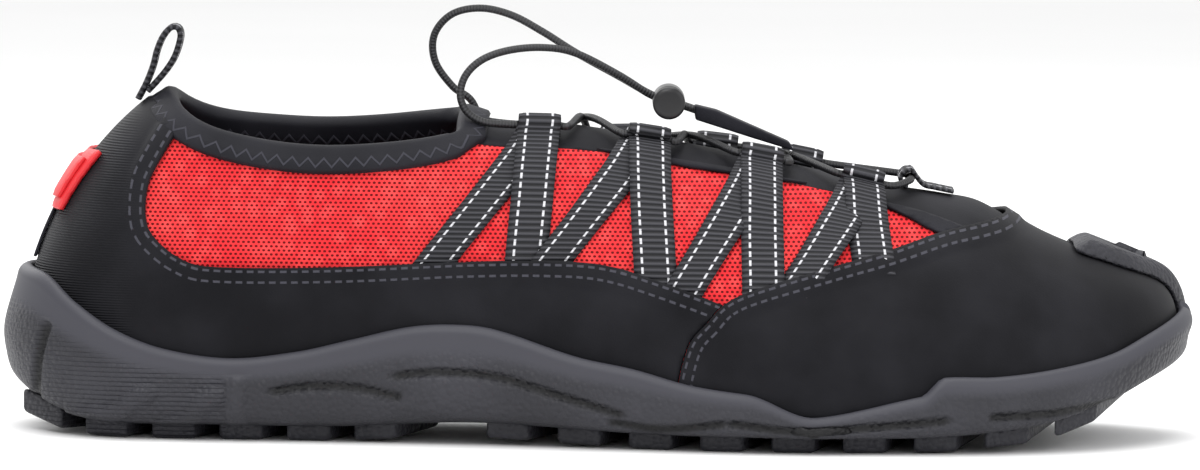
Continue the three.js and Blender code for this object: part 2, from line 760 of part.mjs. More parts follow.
// Everything below and behind the mesh window
function belowWindow(grow = 0) {
  const edge = shifted(WINDOW, grow, grow);
  const front = edge[edge.length - 1][0];
  const back = alongX(0) - SOLE_FLANGE;
  const outline = [...edge, [front, -SOLE_FLANGE], [back, -SOLE_FLANGE], [back, 2 * HEEL_HEIGHT]];
  return sidePrism(polygon([...outline, [edge[0][0], 2 * HEEL_HEIGHT]]), -FAR, FAR);
}

// Everything ahead of the toe panel's edge
function aheadOfToe(grow = 0) {
  const edge = shifted(TOE_EDGE, -grow, grow);
  const front = alongX(1) + SOLE_FLANGE;
  const top = edge[edge.length - 1][1];
  return sidePrism(polygon([...edge, [front, top], [front, edge[0][1]]]), -FAR, FAR);
}

// Everything above the eyestay's lower edge
function aboveEyestay(drop = 0) {
  const edge = shifted(EYESTAY_EDGE, 0, -drop);
  const top = 2 * HEEL_HEIGHT;
  return sidePrism(polygon([...edge, [edge[edge.length - 1][0], top], [edge[0][0], top]]), -FAR, FAR);
}

// Strip of a panel's edge between two lines
const strip = (outer, inner) => sidePrism(polygon([...outer, ...inner.slice().reverse()]), -FAR, FAR);

function buildHeelFoxing() {
  const panel = layer(FIT, FIT + OVERLAY);
  const band = layer(FIT, FIT + OVERLAY + BAND_STEP).intersect(strip(sidePoints(BAND), sidePoints(WINDOW)));
  return panel.add(band).intersect(belowWindow()).subtract(aheadOfToe(FIT)).subtract(aboveCollar(BINDING + FIT));
}

function buildToeOverlay() {
  const edge = sidePoints(TOE_EDGE.slice(1, -1));
  const inner = shifted(TOE_EDGE.slice(1, -1), TOE_BAND * 0.6, -TOE_BAND * 0.75);
  inner[0] = [edge[0][0] + TOE_BAND, edge[0][1]];
  const band = layer(FIT, FIT + OVERLAY + BAND_STEP).intersect(strip(edge, inner));
  return layer(FIT, FIT + OVERLAY).add(band).intersect(aheadOfToe());
}

function buildBinding() {
  const front = alongX(EYESTAY_EDGE[0].at) - FIT - alongX(COLLAR_FRONT);
  const below = aboveCollar(BINDING, front);
  const throat = topPrism(throatOutline(0, COLLAR_FRONT), INSTEP_HEIGHT / 2, 2 * INSTEP_HEIGHT);
  return layer(FIT, FIT + OVERLAY).intersect(below).subtract(collarOpening).subtract(throat);
}

// The half of space on one side of the shoe
function halfSpace(side) {
  return oneSide(side, polygon([[-2 * FAR, -FAR], [2 * FAR, -FAR], [2 * FAR, 2 * FAR], [-2 * FAR, 2 * FAR]]));
}

function buildEyestay(side) {
  const throat = topPrism(throatOutline(0, EYESTAY_EDGE[0].at), INSTEP_HEIGHT / 2, 2 * INSTEP_HEIGHT);
  const panel = layer(FIT, FIT + EYESTAY).intersect(aboveEyestay()).subtract(throat).subtract(aheadOfToe(FIT));
  return mainBody(panel.intersect(halfSpace(side)));
}

// Straps, back to front. head: place of the cord eye, back and front: places of the two feet, as shares
// of the length. top, backFoot, frontFoot: their heights as shares of the heel height.
const STRAPS = [
  { side: LATERAL, head: 0.448, top: 0.87, back: 0.36, backFoot: 0.5, front: 0.439, frontFoot: 0.5 },
  { side: LATERAL, head: 0.538, top: 0.86, back: 0.455, backFoot: 0.5, front: 0.547, frontFoot: 0.46 },
  { side: LATERAL, head: 0.632, top: 0.79, back: 0.566, backFoot: 0.43, front: 0.635, frontFoot: 0.43 },
  { side: LATERAL, head: 0.717, top: 0.728, back: 0.66, backFoot: 0.45, front: 0.726, frontFoot: 0.51 },
  { side: MEDIAL, head: 0.43, top: 0.88, back: 0.342, backFoot: 0.5, front: 0.421, frontFoot: 0.5 },
  { side: MEDIAL, head: 0.516, top: 0.87, back: 0.432, backFoot: 0.5, front: 0.522, frontFoot: 0.47 },
  { side: MEDIAL, head: 0.597, top: 0.82, back: 0.53, backFoot: 0.46, front: 0.6, frontFoot: 0.41 },
  { side: MEDIAL, head: 0.668, top: 0.77, back: 0.61, backFoot: 0.42, front: 0.675, frontFoot: 0.47 },
];

// Point of the last's surface under a place seen from above
function lastPoint(side, x, y) {
  const atTurn = (turn) => {
    let low = 0;
    let high = 1;
    for (let step = 0; step < 20; step += 1) {
      const middle = (low + high) / 2;
      if (archPoint(arch(side, middle), turn).x < x) low = middle;
      else high = middle;
    }
    return archPoint(arch(side, low), turn);
  };
  let low = 0.3;
  let high = 1;
  for (let step = 0; step < 20; step += 1) {
    const middle = (low + high) / 2;
    if ((atTurn(middle).y - y) * side > 0) low = middle;
    else high = middle;
  }
  return atTurn(low);
}

// Point off the last's surface, along its normal
function offLast(side, x, y, rise) {
  const point = lastPoint(side, x, y);
  const along = lastPoint(side, x + 1, y).sub(point);
  const across = lastPoint(side, x, y + side).sub(point);
  const normal = along.cross(across).multiplyScalar(side).normalize();
  return point.addScaledVector(normal, rise);
}

// Ends of a strap's cord eye, back end first
function eyeEnds(row) {
  const half = (WEBBING_SHARE * SHOE_LENGTH) / 2;
  return [-half, half].map((step) => {
    const x = alongX(row.head) + step;
    const y = row.side * (lookup(THROAT, sideColumn(row.side), atX(x)) * BALL_WIDTH - EYE_REACH);
    return offLast(row.side, x, y, EYE_RISE);
  });
}

// Tube with a bore between two points
function eyeTube(from, to) {
  const outline = new THREE.Shape();
  outline.absarc(0, 0, EYE_RADIUS + EYE_WALL, 0, 2 * Math.PI);
  const bore = new THREE.Path();
  bore.absarc(0, 0, EYE_RADIUS, 0, 2 * Math.PI, true);
  outline.holes.push(bore);
  const run = to.clone().sub(from);
  const options = { depth: run.length(), bevelEnabled: false, curveSegments: 5 };
  const geometry = new THREE.ExtrudeGeometry(outline, options);
  const turn = new THREE.Quaternion().setFromUnitVectors(new THREE.Vector3(0, 0, 1), run.normalize());
  geometry.applyQuaternion(turn);
  geometry.translate(from.x, from.y, from.z);
  return toSolid(geometry);
}

// Round rod along a curve through points
function rod(points, radius, steps = 1) {
  const outline = new THREE.Shape();
  outline.absarc(0, 0, radius, 0, 2 * Math.PI);
  const path = new THREE.CatmullRomCurve3(points);
  const geometry = new THREE.ExtrudeGeometry(outline, { steps, curveSegments: 4, extrudePath: path });
  return toSolid(geometry);
}

// Space round an eye's bore, a little longer than the eye, that its strap leaves free
function eyeSpace(from, to) {
  const run = to.clone().sub(from).normalize();
  const ends = [from.clone().sub(run), to.clone().add(run)];
  return rod(ends, EYE_RADIUS + EYE_WALL / 2);
}

// Space over a strap's two legs, on its own side of the shoe
function strapLegs(row, grow = 0) {
  const half = (WEBBING_SHARE * SHOE_LENGTH) / 2 + grow;
  const head = alongX(row.head);
  const top = row.top * HEEL_HEIGHT;
  const legs = [[row.back, row.backFoot], [row.front, row.frontFoot]].map(([at, height]) => {
    const [x, z] = [alongX(at), height * HEEL_HEIGHT];
    return oneSide(row.side, polygon([[x - half, z], [x + half, z], [head + half, top], [head - half, top]]));
  });
  return unite(legs);
}

// One strap: two legs flat on the upper, a head that steps over the eyestay, and its cord eye
function buildStrap(row, before) {
  const legs = strapLegs(row);
  const above = 2 * FIT + EYESTAY;
  const low = layer(FIT, FIT + WEBBING).intersect(legs).subtract(aboveEyestay(FIT));
  const step = layer(FIT, above + WEBBING).intersect(legs).intersect(aboveEyestay(FIT + STRAP_STEP));
  const [back, front] = eyeEnds(row);
  const [near, far] = [row.side * FAR, (back.y + front.y) / 2];
  const reach = topPrism(polygon([[back.x, near], [front.x, near], [front.x, far], [back.x, far]]), 0, FAR);
  const head = layer(above, above + WEBBING).intersect(aboveEyestay(FIT + STRAP_STEP)).intersect(reach);
  const bore = eyeSpace(back, front);
  let strap = unite([low, step.subtract(aboveEyestay(FIT)), head]).subtract(bore).add(eyeTube(back, front));
  strap = strap.subtract(belowWindow(FIT)).subtract(aheadOfToe(FIT));
  if (before) strap = strap.subtract(strapLegs(before, FIT));
  return mainBody(strap);
}

// Keeper at the throat's front: a webbing tab with an eye across it. from, to: across the shoe.
const KEEPER = { at: 0.758, from: -3, to: 8.5, length: 11 };

const keeperEnds = [KEEPER.from, KEEPER.to].map((y) => {
  const side = y < 0 ? LATERAL : MEDIAL;
  return offLast(side, alongX(KEEPER.at), y, EYE_RISE);
});

function buildKeeper() {
  const x = alongX(KEEPER.at);
  const front = x + KEEPER.length;
  const outline = [[x, KEEPER.from], [front, KEEPER.from], [front, KEEPER.to], [x, KEEPER.to]];
  const plate = layer(FIT, FIT + WEBBING).intersect(topPrism(polygon(outline), 0, FAR));
  const [from, to] = keeperEnds;
  return plate.subtract(eyeSpace(from, to)).add(eyeTube(from, to));
}

// Spans of the cord from eye to eye, over the middle of the throat
const eyes = STRAPS.map((row) => ({ ...row, ends: eyeEnds(row) }));
const lateralEyes = eyes.filter((row) => row.side === LATERAL);
const medialEyes = eyes.filter((row) => row.side === MEDIAL);

// Way out of an eye's end: a point inside, the end itself, and two points straight ahead of it
function wayOut(ends, end) {
  const inner = ends[end].clone().lerp(ends[1 - end], 0.6);
  const ahead = ends[end].clone().sub(inner).normalize();
  const leads = [EYE_LEAD / 2, EYE_LEAD].map((lead) => ends[end].clone().addScaledVector(ahead, lead));
  return [inner, ends[end], ...leads];
}

function span(fromEnds, toEnds) {
  const leaving = wayOut(fromEnds, 0);
  const arriving = wayOut(toEnds, 1).reverse();
  const middle = leaving[3].clone().add(arriving[0]).multiplyScalar(0.5);
  const crest = lookup(CREST, "side", atX(middle.x)) * BALL_WIDTH;
  const over = offLast(MEDIAL, middle.x, crest + 1, BAR_RISE);
  return rod([...leaving, over, ...arriving], CORD_RADIUS, SPAN_STEPS);
}

function buildLaceBars() {
  const bars = [];
  for (let step = 1; step < lateralEyes.length; step += 1) {
    bars.push(span(lateralEyes[step].ends, medialEyes[step - 1].ends));
    bars.push(span(medialEyes[step].ends, lateralEyes[step - 1].ends));
  }
  const last = lateralEyes.length - 1;
  const out = wayOut(lateralEyes[last].ends, 1);
  const back = wayOut(medialEyes[last].ends, 1).reverse();
  const across = [...wayOut(keeperEnds, 0).slice(1).reverse(), ...wayOut(keeperEnds, 1).slice(1)];
  bars.push(rod([...out, ...across, ...back], CORD_RADIUS, KEEPER_STEPS));
  return unite(bars);
}

// Cord lock, its cord run slanting down to the toe
const LOCK = { x: 16, z: 80.1, nearEnd: -8.5, slant: 0.325 };
const cordPlaces = [-CORD_SPACING / 2 + 0.4, CORD_SPACING / 2 + 0.4];

const lockPoint = (ahead, y) => new THREE.Vector3(LOCK.x + ahead, y, LOCK.z - ahead * LOCK.slant);

function disc(radius, from, to) {
  const outline = new THREE.Shape();
  outline.absarc(LOCK.x, LOCK.z, radius, 0, 2 * Math.PI);
  return sidePrism(outline, from, to);
}

function buildBarrel() {
  const body = disc(LOCK_RADIUS, LOCK.nearEnd, LOCK.nearEnd + LOCK_LENGTH);
  const bore = disc(LOCK_BORE, LOCK.nearEnd - 1, LOCK.nearEnd + LOCK_BORE_DEPTH);
  const holes = cordPlaces.map((y) => rod([lockPoint(-6, y), lockPoint(6, y)], EYE_RADIUS));
  return body.subtract(unite([bore, ...holes]));
}

function buildPlunger() {
  const headEnd = LOCK.nearEnd - FIT - PLUNGER_TRAVEL;
  const stemEnd = LOCK.nearEnd + LOCK_BORE_DEPTH - FIT - PLUNGER_TRAVEL;
  return disc(LOCK_RADIUS, headEnd - PLUNGER_HEAD, headEnd).add(disc(PLUNGER_STEM, headEnd - 0.1, stemEnd));
}

// Free loops of the cord, from the top eyes through the lock to the tab. Hand-placed points.
const LOOP_LATERAL = [
  [-28, -15, 75.2],
  [-32, -15, 77.6],
  [-33.6, -15, 81.5],
  [-32.4, -14.5, 86.2],
  [-28.4, -13.5, 90],
  [-22, -11.5, 92.2],
  [-14, -9, 92.8],
  [-6.3, -6, 91.4],
  [3.8, -3, 86.3],
];
const LOOP_MEDIAL = [
  [-31, 15, 78],
  [-36, 15, 82],
  [-40.3, 14.5, 88],
  [-40.6, 13.5, 94.5],
  [-36.4, 12, 99.6],
  [-29.5, 11, 101.2],
  [-22, 9.5, 99.7],
  [-14.3, 7.5, 95.8],
  [-6.3, 5.5, 91],
  [3.8, 3.6, 85.7],
];
const TAIL = { start: 9, end: 9.8, drop: 0.35 };

function buildLoop(eye, points, y) {
  const [, end, ...ahead] = wayOut(eye.ends, 0);
  const start = end.clone().lerp(eye.ends[1], 0.3);
  const free = points.map(([x, depth, z]) => new THREE.Vector3(x, depth, z));
  const lock = [lockPoint(-4.5, y), lockPoint(0, y), lockPoint(4.5, y)];
  const tail = lockPoint(TAIL.end, y);
  tail.z -= TAIL.drop;
  return rod([start, end, ...ahead, ...free, ...lock, tail], CORD_RADIUS, LOOP_STEPS);
}

// Tab on the cord's ends, side view, as lengths along and above the floor
const TAB = [
  [22.2, 79.2],
  [27.5, 78],
  [36, 74.4],
  [45, 70.6],
  [46.2, 69.4],
  [46.2, 60],
  [22.2, 60],
];

function buildTab() {
  const wedge = sidePrism(polygon(TAB), cordPlaces[0] - TAB_MARGIN, cordPlaces[1] + TAB_MARGIN);
  const holes = cordPlaces.map((y) => rod([lockPoint(5, y), lockPoint(TAIL.end + 0.6, y)], EYE_RADIUS));
  return wedge.subtract(lastForm(TAB_RISE)).subtract(unite(holes));
}

// Part of a layer on the heel's back, between two heights
function heelPatch(from, to, half, low, high) {
  const back = alongX(0) - SOLE_FLANGE;
  const front = back + HEEL_HEIGHT / 2;
  const outline = polygon([[back, -half], [front, -half], [front, half], [back, half]]);
  return layer(from, to).intersect(topPrism(outline, low, high));
}

// Heel pieces. low, high: heights as shares of the heel height. half: half width, of the ball width.
const BADGE = { low: 0.625, high: 0.79, half: 0.115 };
const TAPE_LOW = 0.487;
const LOOP_TAIL = { low: 0.845, high: 0.985 };
const tapeBase = 2 * FIT + OVERLAY;

function buildBadge() {
  const [low, high, half] = [BADGE.low * HEEL_HEIGHT, BADGE.high * HEEL_HEIGHT, BADGE.half * BALL_WIDTH];
  const plate = heelPatch(tapeBase, tapeBase + BADGE_STEP, half, low, high);
  const inset = BADGE_STEP * 1.5;
  const face = heelPatch(tapeBase, tapeBase + 2 * BADGE_STEP, half - inset, low + inset, high - inset);
  return plate.add(face);
}

function buildBackStrap() {
  const top = BADGE.low * HEEL_HEIGHT - FIT;
  return heelPatch(tapeBase, tapeBase + TAPE, TAPE_HALF, TAPE_LOW * HEEL_HEIGHT, top);
}

// Side view of the pull loop: its rear strand up to the top, and its front strand back down
const LOOP_REAR = [
  [-110.6, 79.8],
  [-108.6, 83.5],
  [-107.2, 87],
  [-106.5, 90.6],
  [-105.4, 93.4],
  [-103.6, 96],
  [-101.9, 96.5],
];
const LOOP_FRONT = [
  [-103, 96.4],
  [-101.2, 95.7],
  [-100.9, 93.5],
  [-101.8, 90.2],
  [-103.9, 86.8],
  [-106.6, 83.2],
  [-109.2, 80.4],
];

function buildPullLoop() {
  const strands = [LOOP_REAR, LOOP_FRONT].map((points) => {
    return sidePrism(stroke(points, LOOP_THICKNESS), -TAPE_HALF, TAPE_HALF);
  });
  const body = unite(strands).subtract(lastForm(tapeBase).subtract(aboveCollar(-2 * FIT)));
  const [low, high] = [LOOP_TAIL.low * HEEL_HEIGHT, LOOP_TAIL.high * HEEL_HEIGHT];
  const tail = heelPatch(tapeBase, tapeBase + LOOP_THICKNESS / 2, TAPE_HALF, low, high);
  return mainBody(body.add(tail));
}

// Finishes
const finish = (color, roughness) => ({ color, roughness, metalness: 0 });
const FINISHES = {
  rubber: finish(0x3a3a42, 0.75),
  neoprene: finish(0x1d1c20, 0.85),
  meshCloth: finish(0xe8404a, 0.8),
  webbing: finish(0x2a2a2e, 0.7),
  badge: finish(0xc8202c, 0.5),
  cord: finish(0x151517, 0.6),
  plastic: finish(0x1a1a1d, 0.45),
};

const shoe = new THREE.Group();

function addPiece(name, solid, look) {
  const slim = mainBody(mainBody(solid).simplify(SLIM));
  const mesh = slim.getMesh();
  const geometry = new THREE.BufferGeometry();
  geometry.setAttribute("position", new THREE.BufferAttribute(mesh.vertProperties, 3));
  geometry.setIndex(new THREE.BufferAttribute(mesh.triVerts, 1));
  geometry.computeVertexNormals();
  const piece = new THREE.Mesh(geometry, new THREE.MeshStandardMaterial(look));
  piece.name = name;
  shoe.add(piece);
}

addPiece("outsole", buildOutsole(), FINISHES.rubber);
addPiece("insole", buildInsole(), FINISHES.neoprene);
addPiece("upper", buildUpper(), FINISHES.meshCloth);
addPiece("tongue", buildTongue(), FINISHES.neoprene);
addPiece("heel_foxing", buildHeelFoxing(), FINISHES.neoprene);
addPiece("toe_overlay", buildToeOverlay(), FINISHES.neoprene);
addPiece("collar_binding", buildBinding(), FINISHES.neoprene);
addPiece("eyestay_lateral", buildEyestay(LATERAL), FINISHES.neoprene);
addPiece("eyestay_medial", buildEyestay(MEDIAL), FINISHES.neoprene);
STRAPS.forEach((row, index) => {
  const place = (index % (STRAPS.length / 2)) + 1;
  const before = place > 1 ? STRAPS[index - 1] : null;
  addPiece(`strap_${sideColumn(row.side)}_${place}`, buildStrap(row, before), FINISHES.webbing);
});
addPiece("lace_keeper", buildKeeper(), FINISHES.webbing);
addPiece("lace_bars", buildLaceBars(), FINISHES.cord);
addPiece("lace_loop_lateral", buildLoop(lateralEyes[0], LOOP_LATERAL, cordPlaces[0]), FINISHES.cord);
addPiece("lace_loop_medial", buildLoop(medialEyes[0], LOOP_MEDIAL, cordPlaces[1]), FINISHES.cord);
addPiece("cord_lock_barrel", buildBarrel(), FINISHES.plastic);
addPiece("cord_lock_plunger", buildPlunger(), FINISHES.plastic);
addPiece("pull_tab", buildTab(), FINISHES.webbing);
addPiece("back_strap", buildBackStrap(), FINISHES.webbing);
addPiece("heel_badge", buildBadge(), FINISHES.badge);
addPiece("pull_loop", buildPullLoop(), FINISHES.webbing);

export default shoe;
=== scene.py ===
"""Looks of the water shoe: mesh upper, neoprene panels, webbing straps, elastic cord and rubber cup sole.

Sizes are millimetres in the tables and metres in Blender. +X is the toe, -Y the outer side, +Z up.
"""

import logging
import math
from collections.abc import Callable
from dataclasses import dataclass
from enum import Enum

import bmesh
import bpy
import numpy as np
from mathutils import Matrix, Vector

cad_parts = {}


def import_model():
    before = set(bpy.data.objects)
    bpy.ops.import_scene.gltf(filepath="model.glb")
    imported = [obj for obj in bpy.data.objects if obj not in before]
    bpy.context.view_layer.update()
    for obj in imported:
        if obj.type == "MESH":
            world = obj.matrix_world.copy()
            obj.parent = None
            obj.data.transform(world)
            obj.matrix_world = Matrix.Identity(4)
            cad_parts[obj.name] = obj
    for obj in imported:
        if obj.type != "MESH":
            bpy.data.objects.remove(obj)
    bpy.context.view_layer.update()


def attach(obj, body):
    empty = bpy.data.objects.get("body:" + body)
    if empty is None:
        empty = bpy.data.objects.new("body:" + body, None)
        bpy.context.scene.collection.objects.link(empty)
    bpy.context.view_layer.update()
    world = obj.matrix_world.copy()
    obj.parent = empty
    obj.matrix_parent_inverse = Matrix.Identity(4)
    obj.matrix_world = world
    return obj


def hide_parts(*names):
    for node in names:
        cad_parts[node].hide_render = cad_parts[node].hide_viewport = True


LOG = logging.getLogger("water_shoe")

Pair = tuple[float, float]
Place = tuple[float, float, float]
Field = Callable[[np.ndarray, np.ndarray, np.ndarray], np.ndarray]
Facing = Callable[[bmesh.types.BMesh], float]
Value = bpy.types.NodeSocket | float
Tint = bpy.types.NodeSocket | tuple[float, float, float]

MM = 0.001
TINY = 1e-9
TIP = 1e-6
SNAP = 0.1
BUMP_STRENGTH = 0.8

# Driving sizes, in mm.
SHOE_LENGTH = 285.0
BALL_WIDTH = 104.0
HEEL_HEIGHT = 83.0
INSTEP_HEIGHT = 77.0
SOLE_FLANGE = 5.0
CUP_CLEARANCE = 1.6
LIP = 2.4
LUG_HEIGHT = 3.5
LUG_SWEEP = 12.0

# Shares of the driving sizes along the shoe, by column.
SECTIONS = {
    "at": [0, 0.06, 0.14, 0.28, 0.4, 0.52, 0.64, 0.74, 0.84, 0.92, 1],
    "lateral": [0.345, 0.345, 0.352, 0.355, 0.37, 0.43, 0.49, 0.51, 0.53, 0.55, 0.55],
    "medial": [0.345, 0.345, 0.345, 0.315, 0.3, 0.35, 0.455, 0.47, 0.43, 0.39, 0.37],
    "centre": [0, 0, 0, -0.015, -0.035, -0.03, -0.0126, 0.0274, 0.07, 0.115, 0.14],
    "edge": [0.16, 0.15, 0.145, 0.145, 0.14, 0.12, 0.1, 0.1, 0.115, 0.17, 0.27],
    "low": [0.56, 0.62, 0.66, 0.7, 0.62, 0.55, 0.5, 0.5, 0.52, 0.62, 0.78],
    "shoulder": [0.5, 0.56, 0.64, 0.7, 0.72, 0.72, 0.66, 0.62, 0.58, 0.56, 0.55],
    "flare": [0, 0.2, 0.3, 0.2, 0.2, 0.3, 0.4, 0.4, 0.3, 0.4, 0.8],
}
CREST = {
    "at": [0.27, 0.32, 0.35, 0.384, 0.48, 0.562, 0.65, 0.735, 0.79, 0.82, 0.87, 0.92, 0.955],
    "height": [1.195, 1.195, 1.12, 1, 0.962, 0.915, 0.855, 0.79, 0.76, 0.736, 0.63, 0.55, 0.495],
    "side": [0, 0, 0, 0, 0.01, 0.02, 0.03, 0.04, 0.05, 0.06, 0.08, 0.11, 0.13],
}
COLLAR = {
    "at": [0.144, 0.158, 0.18, 0.224, 0.268, 0.313, 0.357, 0.38],
    "lateral": [0.935, 0.9, 0.868, 0.837, 0.825, 0.832, 0.848, 0.862],
    "medial": [0.945, 0.915, 0.893, 0.88, 0.876, 0.886, 0.905, 0.916],
}
THROAT = {
    "at": [0.384, 0.48, 0.6, 0.7, 0.76, 0.81, 0.85, 0.875],
    "lateral": [0.19, 0.18, 0.16, 0.145, 0.155, 0.19, 0.17, 0.06],
    "medial": [0.19, 0.185, 0.175, 0.185, 0.215, 0.25, 0.23, 0.12],
}
SOLE = {
    "at": [0, 0.025, 0.055, 0.095, 0.14, 0.195, 0.25, 0.294, 0.342, 0.377, 0.412, 0.481, 0.528, 0.574,
           0.621, 0.68, 0.78, 0.83, 0.88, 0.93, 0.965, 1],
    "tread": [0.13, 0.085, 0.055, 0.043, 0.042, 0.042, 0.042, 0.045, 0.055, 0.062, 0.062, 0.052, 0.045,
              0.042, 0.042, 0.042, 0.045, 0.058, 0.08, 0.13, 0.18, 0.225],
    "lateral": [0.475, 0.455, 0.39, 0.315, 0.262, 0.238, 0.26, 0.296, 0.336, 0.346, 0.336, 0.264, 0.233,
                0.192, 0.17, 0.15, 0.219, 0.222, 0.24, 0.275, 0.325, 0.375],
    "medial": [0.475, 0.455, 0.39, 0.315, 0.262, 0.242, 0.27, 0.315, 0.36, 0.378, 0.375, 0.3, 0.25, 0.205,
               0.175, 0.16, 0.175, 0.21, 0.25, 0.3, 0.35, 0.39],
}
# Edges in the side view, as shares of length and heel height.
WINDOW = [(0.148, 0.86), (0.135, 0.783), (0.126, 0.715), (0.125, 0.617), (0.134, 0.565), (0.154, 0.515),
          (0.181, 0.494), (0.27, 0.497), (0.388, 0.518), (0.457, 0.524), (0.504, 0.515), (0.551, 0.471),
          (0.62, 0.39)]
TOE_EDGE = [(0.566, 0.14), (0.568, 0.218), (0.576, 0.309), (0.589, 0.36), (0.604, 0.415), (0.631, 0.455),
            (0.693, 0.514), (0.738, 0.553), (0.783, 0.6), (0.815, 0.622)]
EYESTAY_EDGE = [(0.392, 0.846), (0.423, 0.858), (0.475, 0.839), (0.508, 0.821), (0.562, 0.788),
                (0.651, 0.744), (0.691, 0.724), (0.74, 0.67), (0.781, 0.605), (0.8, 0.58)]


class Side(Enum):
    """The two sides of the shoe: the outer and the inner one."""

    LATERAL = -1
    MEDIAL = 1

    @property
    def column(self) -> str:
        """Name of the side's column in the tables."""
        return "lateral" if self is Side.LATERAL else "medial"


@dataclass(frozen=True)
class Strap:
    """One strap: its side, its head and top, and the feet of its two legs, as shares."""

    side: Side
    head: float
    top: float
    back: Pair
    front: Pair


# Thicknesses, reaches and widths of the sewn and corded pieces, in mm.
EYESTAY = 0.7
BINDING = 5.8
CORD_RADIUS = 0.9
EYE_RISE = 2.9
EYE_REACH = 5.0
STRAP_HALF = 5.0
COLLAR_FRONT = 0.384
THROAT_TAIL = 30.0
THROAT_FLOOR = 38.0
FAR = 160.0
UNDER = -20.0
TURN_LENGTH = 90.0
# Camera, in metres and radians.
CAMERA_DISTANCE = 1.8
CAMERA_LENS = 225.2
CAMERA_TARGET = 0.0476
CAMERA_PITCH = math.radians(4.0)
CAMERA_ROLL = math.radians(0.75)
STRAPS = [
    Strap(Side.LATERAL, 0.448, 0.87, (0.36, 0.5), (0.439, 0.5)),
    Strap(Side.LATERAL, 0.538, 0.86, (0.455, 0.5), (0.547, 0.46)),
    Strap(Side.LATERAL, 0.632, 0.79, (0.566, 0.43), (0.635, 0.43)),
    Strap(Side.LATERAL, 0.717, 0.728, (0.66, 0.45), (0.726, 0.51)),
    Strap(Side.MEDIAL, 0.43, 0.88, (0.342, 0.5), (0.421, 0.5)),
    Strap(Side.MEDIAL, 0.516, 0.87, (0.432, 0.5), (0.522, 0.47)),
    Strap(Side.MEDIAL, 0.597, 0.82, (0.53, 0.46), (0.6, 0.41)),
    Strap(Side.MEDIAL, 0.668, 0.77, (0.61, 0.42), (0.675, 0.47)),
]
# Cord routes, cord lock, tab and pull loop, in mm.
LOOP_LATERAL = [(-28, -15, 75.2), (-32, -15, 77.6), (-33.6, -15, 81.5), (-32.4, -14.5, 86.2),
                (-28.4, -13.5, 90), (-22, -11.5, 92.2), (-14, -9, 92.8), (-6.3, -6, 91.4), (3.8, -3, 86.3)]
LOOP_MEDIAL = [(-31, 15, 78), (-36, 15, 82), (-40.3, 14.5, 88), (-40.6, 13.5, 94.5), (-36.4, 12, 99.6),
               (-29.5, 11, 101.2), (-22, 9.5, 99.7), (-14.3, 7.5, 95.8), (-6.3, 5.5, 91), (3.8, 3.6, 85.7)]
LOCK_CENTRE = (16.0, 80.1)
LOCK_RADIUS = 3.9
LOCK_NEAR = -8.5
LOCK_LENGTH = 14.0
PLUNGER_GAP = 2.8
LOCK_SLANT = 0.325
CORD_PLACES = (-1.2, 2.0)
TAB_OUTLINE = [(22.2, 79.2), (27.5, 78.0), (36.0, 74.4), (45.0, 70.6), (46.2, 68.6),
               (36.0, 71.6), (22.4, 75.8)]
PULL_LOOP = [(-110.9, 79.0), (-108.9, 83.0), (-107.4, 87.0), (-106.5, 90.6), (-105.2, 93.8), (-103.4, 96.0),
             (-101.7, 96.2), (-100.9, 94.6), (-101.3, 92.0), (-102.4, 88.9), (-104.2, 86.0), (-106.4, 83.3),
             (-108.6, 80.9)]


def along_x(at: np.ndarray) -> np.ndarray:
    """Place along the shoe, in mm, of a share of its length."""
    return (np.asarray(at, float) - 0.5) * SHOE_LENGTH


def lookup(table: dict, column: str, at: np.ndarray) -> np.ndarray:
    """Smooth value of a table's column.

    Args:
        table: columns by name, with "at" the shares of the length.
        column: name of the column to read.
        at: shares of the length to read it at.

    Returns:
        The values on a smooth curve through the rows.
    """
    rows = np.asarray(table["at"], float)
    values = np.asarray(table[column], float)
    place = np.clip(np.asarray(at, float), rows[0], rows[-1])
    row = np.clip(np.searchsorted(rows, place, side="left") - 1, 0, len(rows) - 2)
    before = np.maximum(row - 1, 0)
    after = np.minimum(row + 2, len(rows) - 1)
    span = rows[row + 1] - rows[row]
    share = (place - rows[row]) / span
    slope_from = (values[row + 1] - values[before]) / (rows[row + 1] - rows[before]) * span
    slope_to = (values[after] - values[row]) / (rows[after] - rows[row]) * span
    square, cube = share**2, share**3
    return (
        (2 * cube - 3 * square + 1) * values[row]
        + (cube - 2 * square + share) * slope_from
        + (3 * square - 2 * cube) * values[row + 1]
        + (cube - square) * slope_to
    )


def smoothstep(value: np.ndarray, low: float, high: float) -> np.ndarray:
    """Smooth step from 0 at low to 1 at high."""
    share = np.clip((np.asarray(value, float) - low) / (high - low), 0, 1)
    return share * share * (3 - 2 * share)


def curve_through(points: np.ndarray, count: int, closed: bool = False) -> np.ndarray:
    """Evenly spaced points on a smooth curve through given points.

    Args:
        points: the given points, one per row.
        count: how many points to return.
        closed: whether the curve returns to its start.

    Returns:
        The curve's points.
    """
    points = np.asarray(points, float)
    if closed:
        padded = np.vstack([points[-1:], points, points[:2]])
    else:
        padded = np.vstack([2 * points[0] - points[1], points, 2 * points[-1] - points[-2]])
    fine = []
    steps = np.linspace(0, 1, 24, endpoint=False)
    for row in range(1, len(padded) - 2):
        p0, p1, p2, p3 = padded[row - 1 : row + 3]
        for t in steps:
            fine.append(
                0.5 * (2 * p1 + (p2 - p0) * t + (2 * p0 - 5 * p1 + 4 * p2 - p3) * t**2
                       + (3 * p1 - p0 - 3 * p2 + p3) * t**3)
            )
    fine.append(padded[-2])
    fine = np.array(fine)
    run = np.concatenate([[0], np.cumsum(np.linalg.norm(np.diff(fine, axis=0), axis=1))])
    wanted = np.linspace(0, run[-1], count)
    return np.stack([np.interp(wanted, run, fine[:, axis]) for axis in range(fine.shape[1])], axis=1)


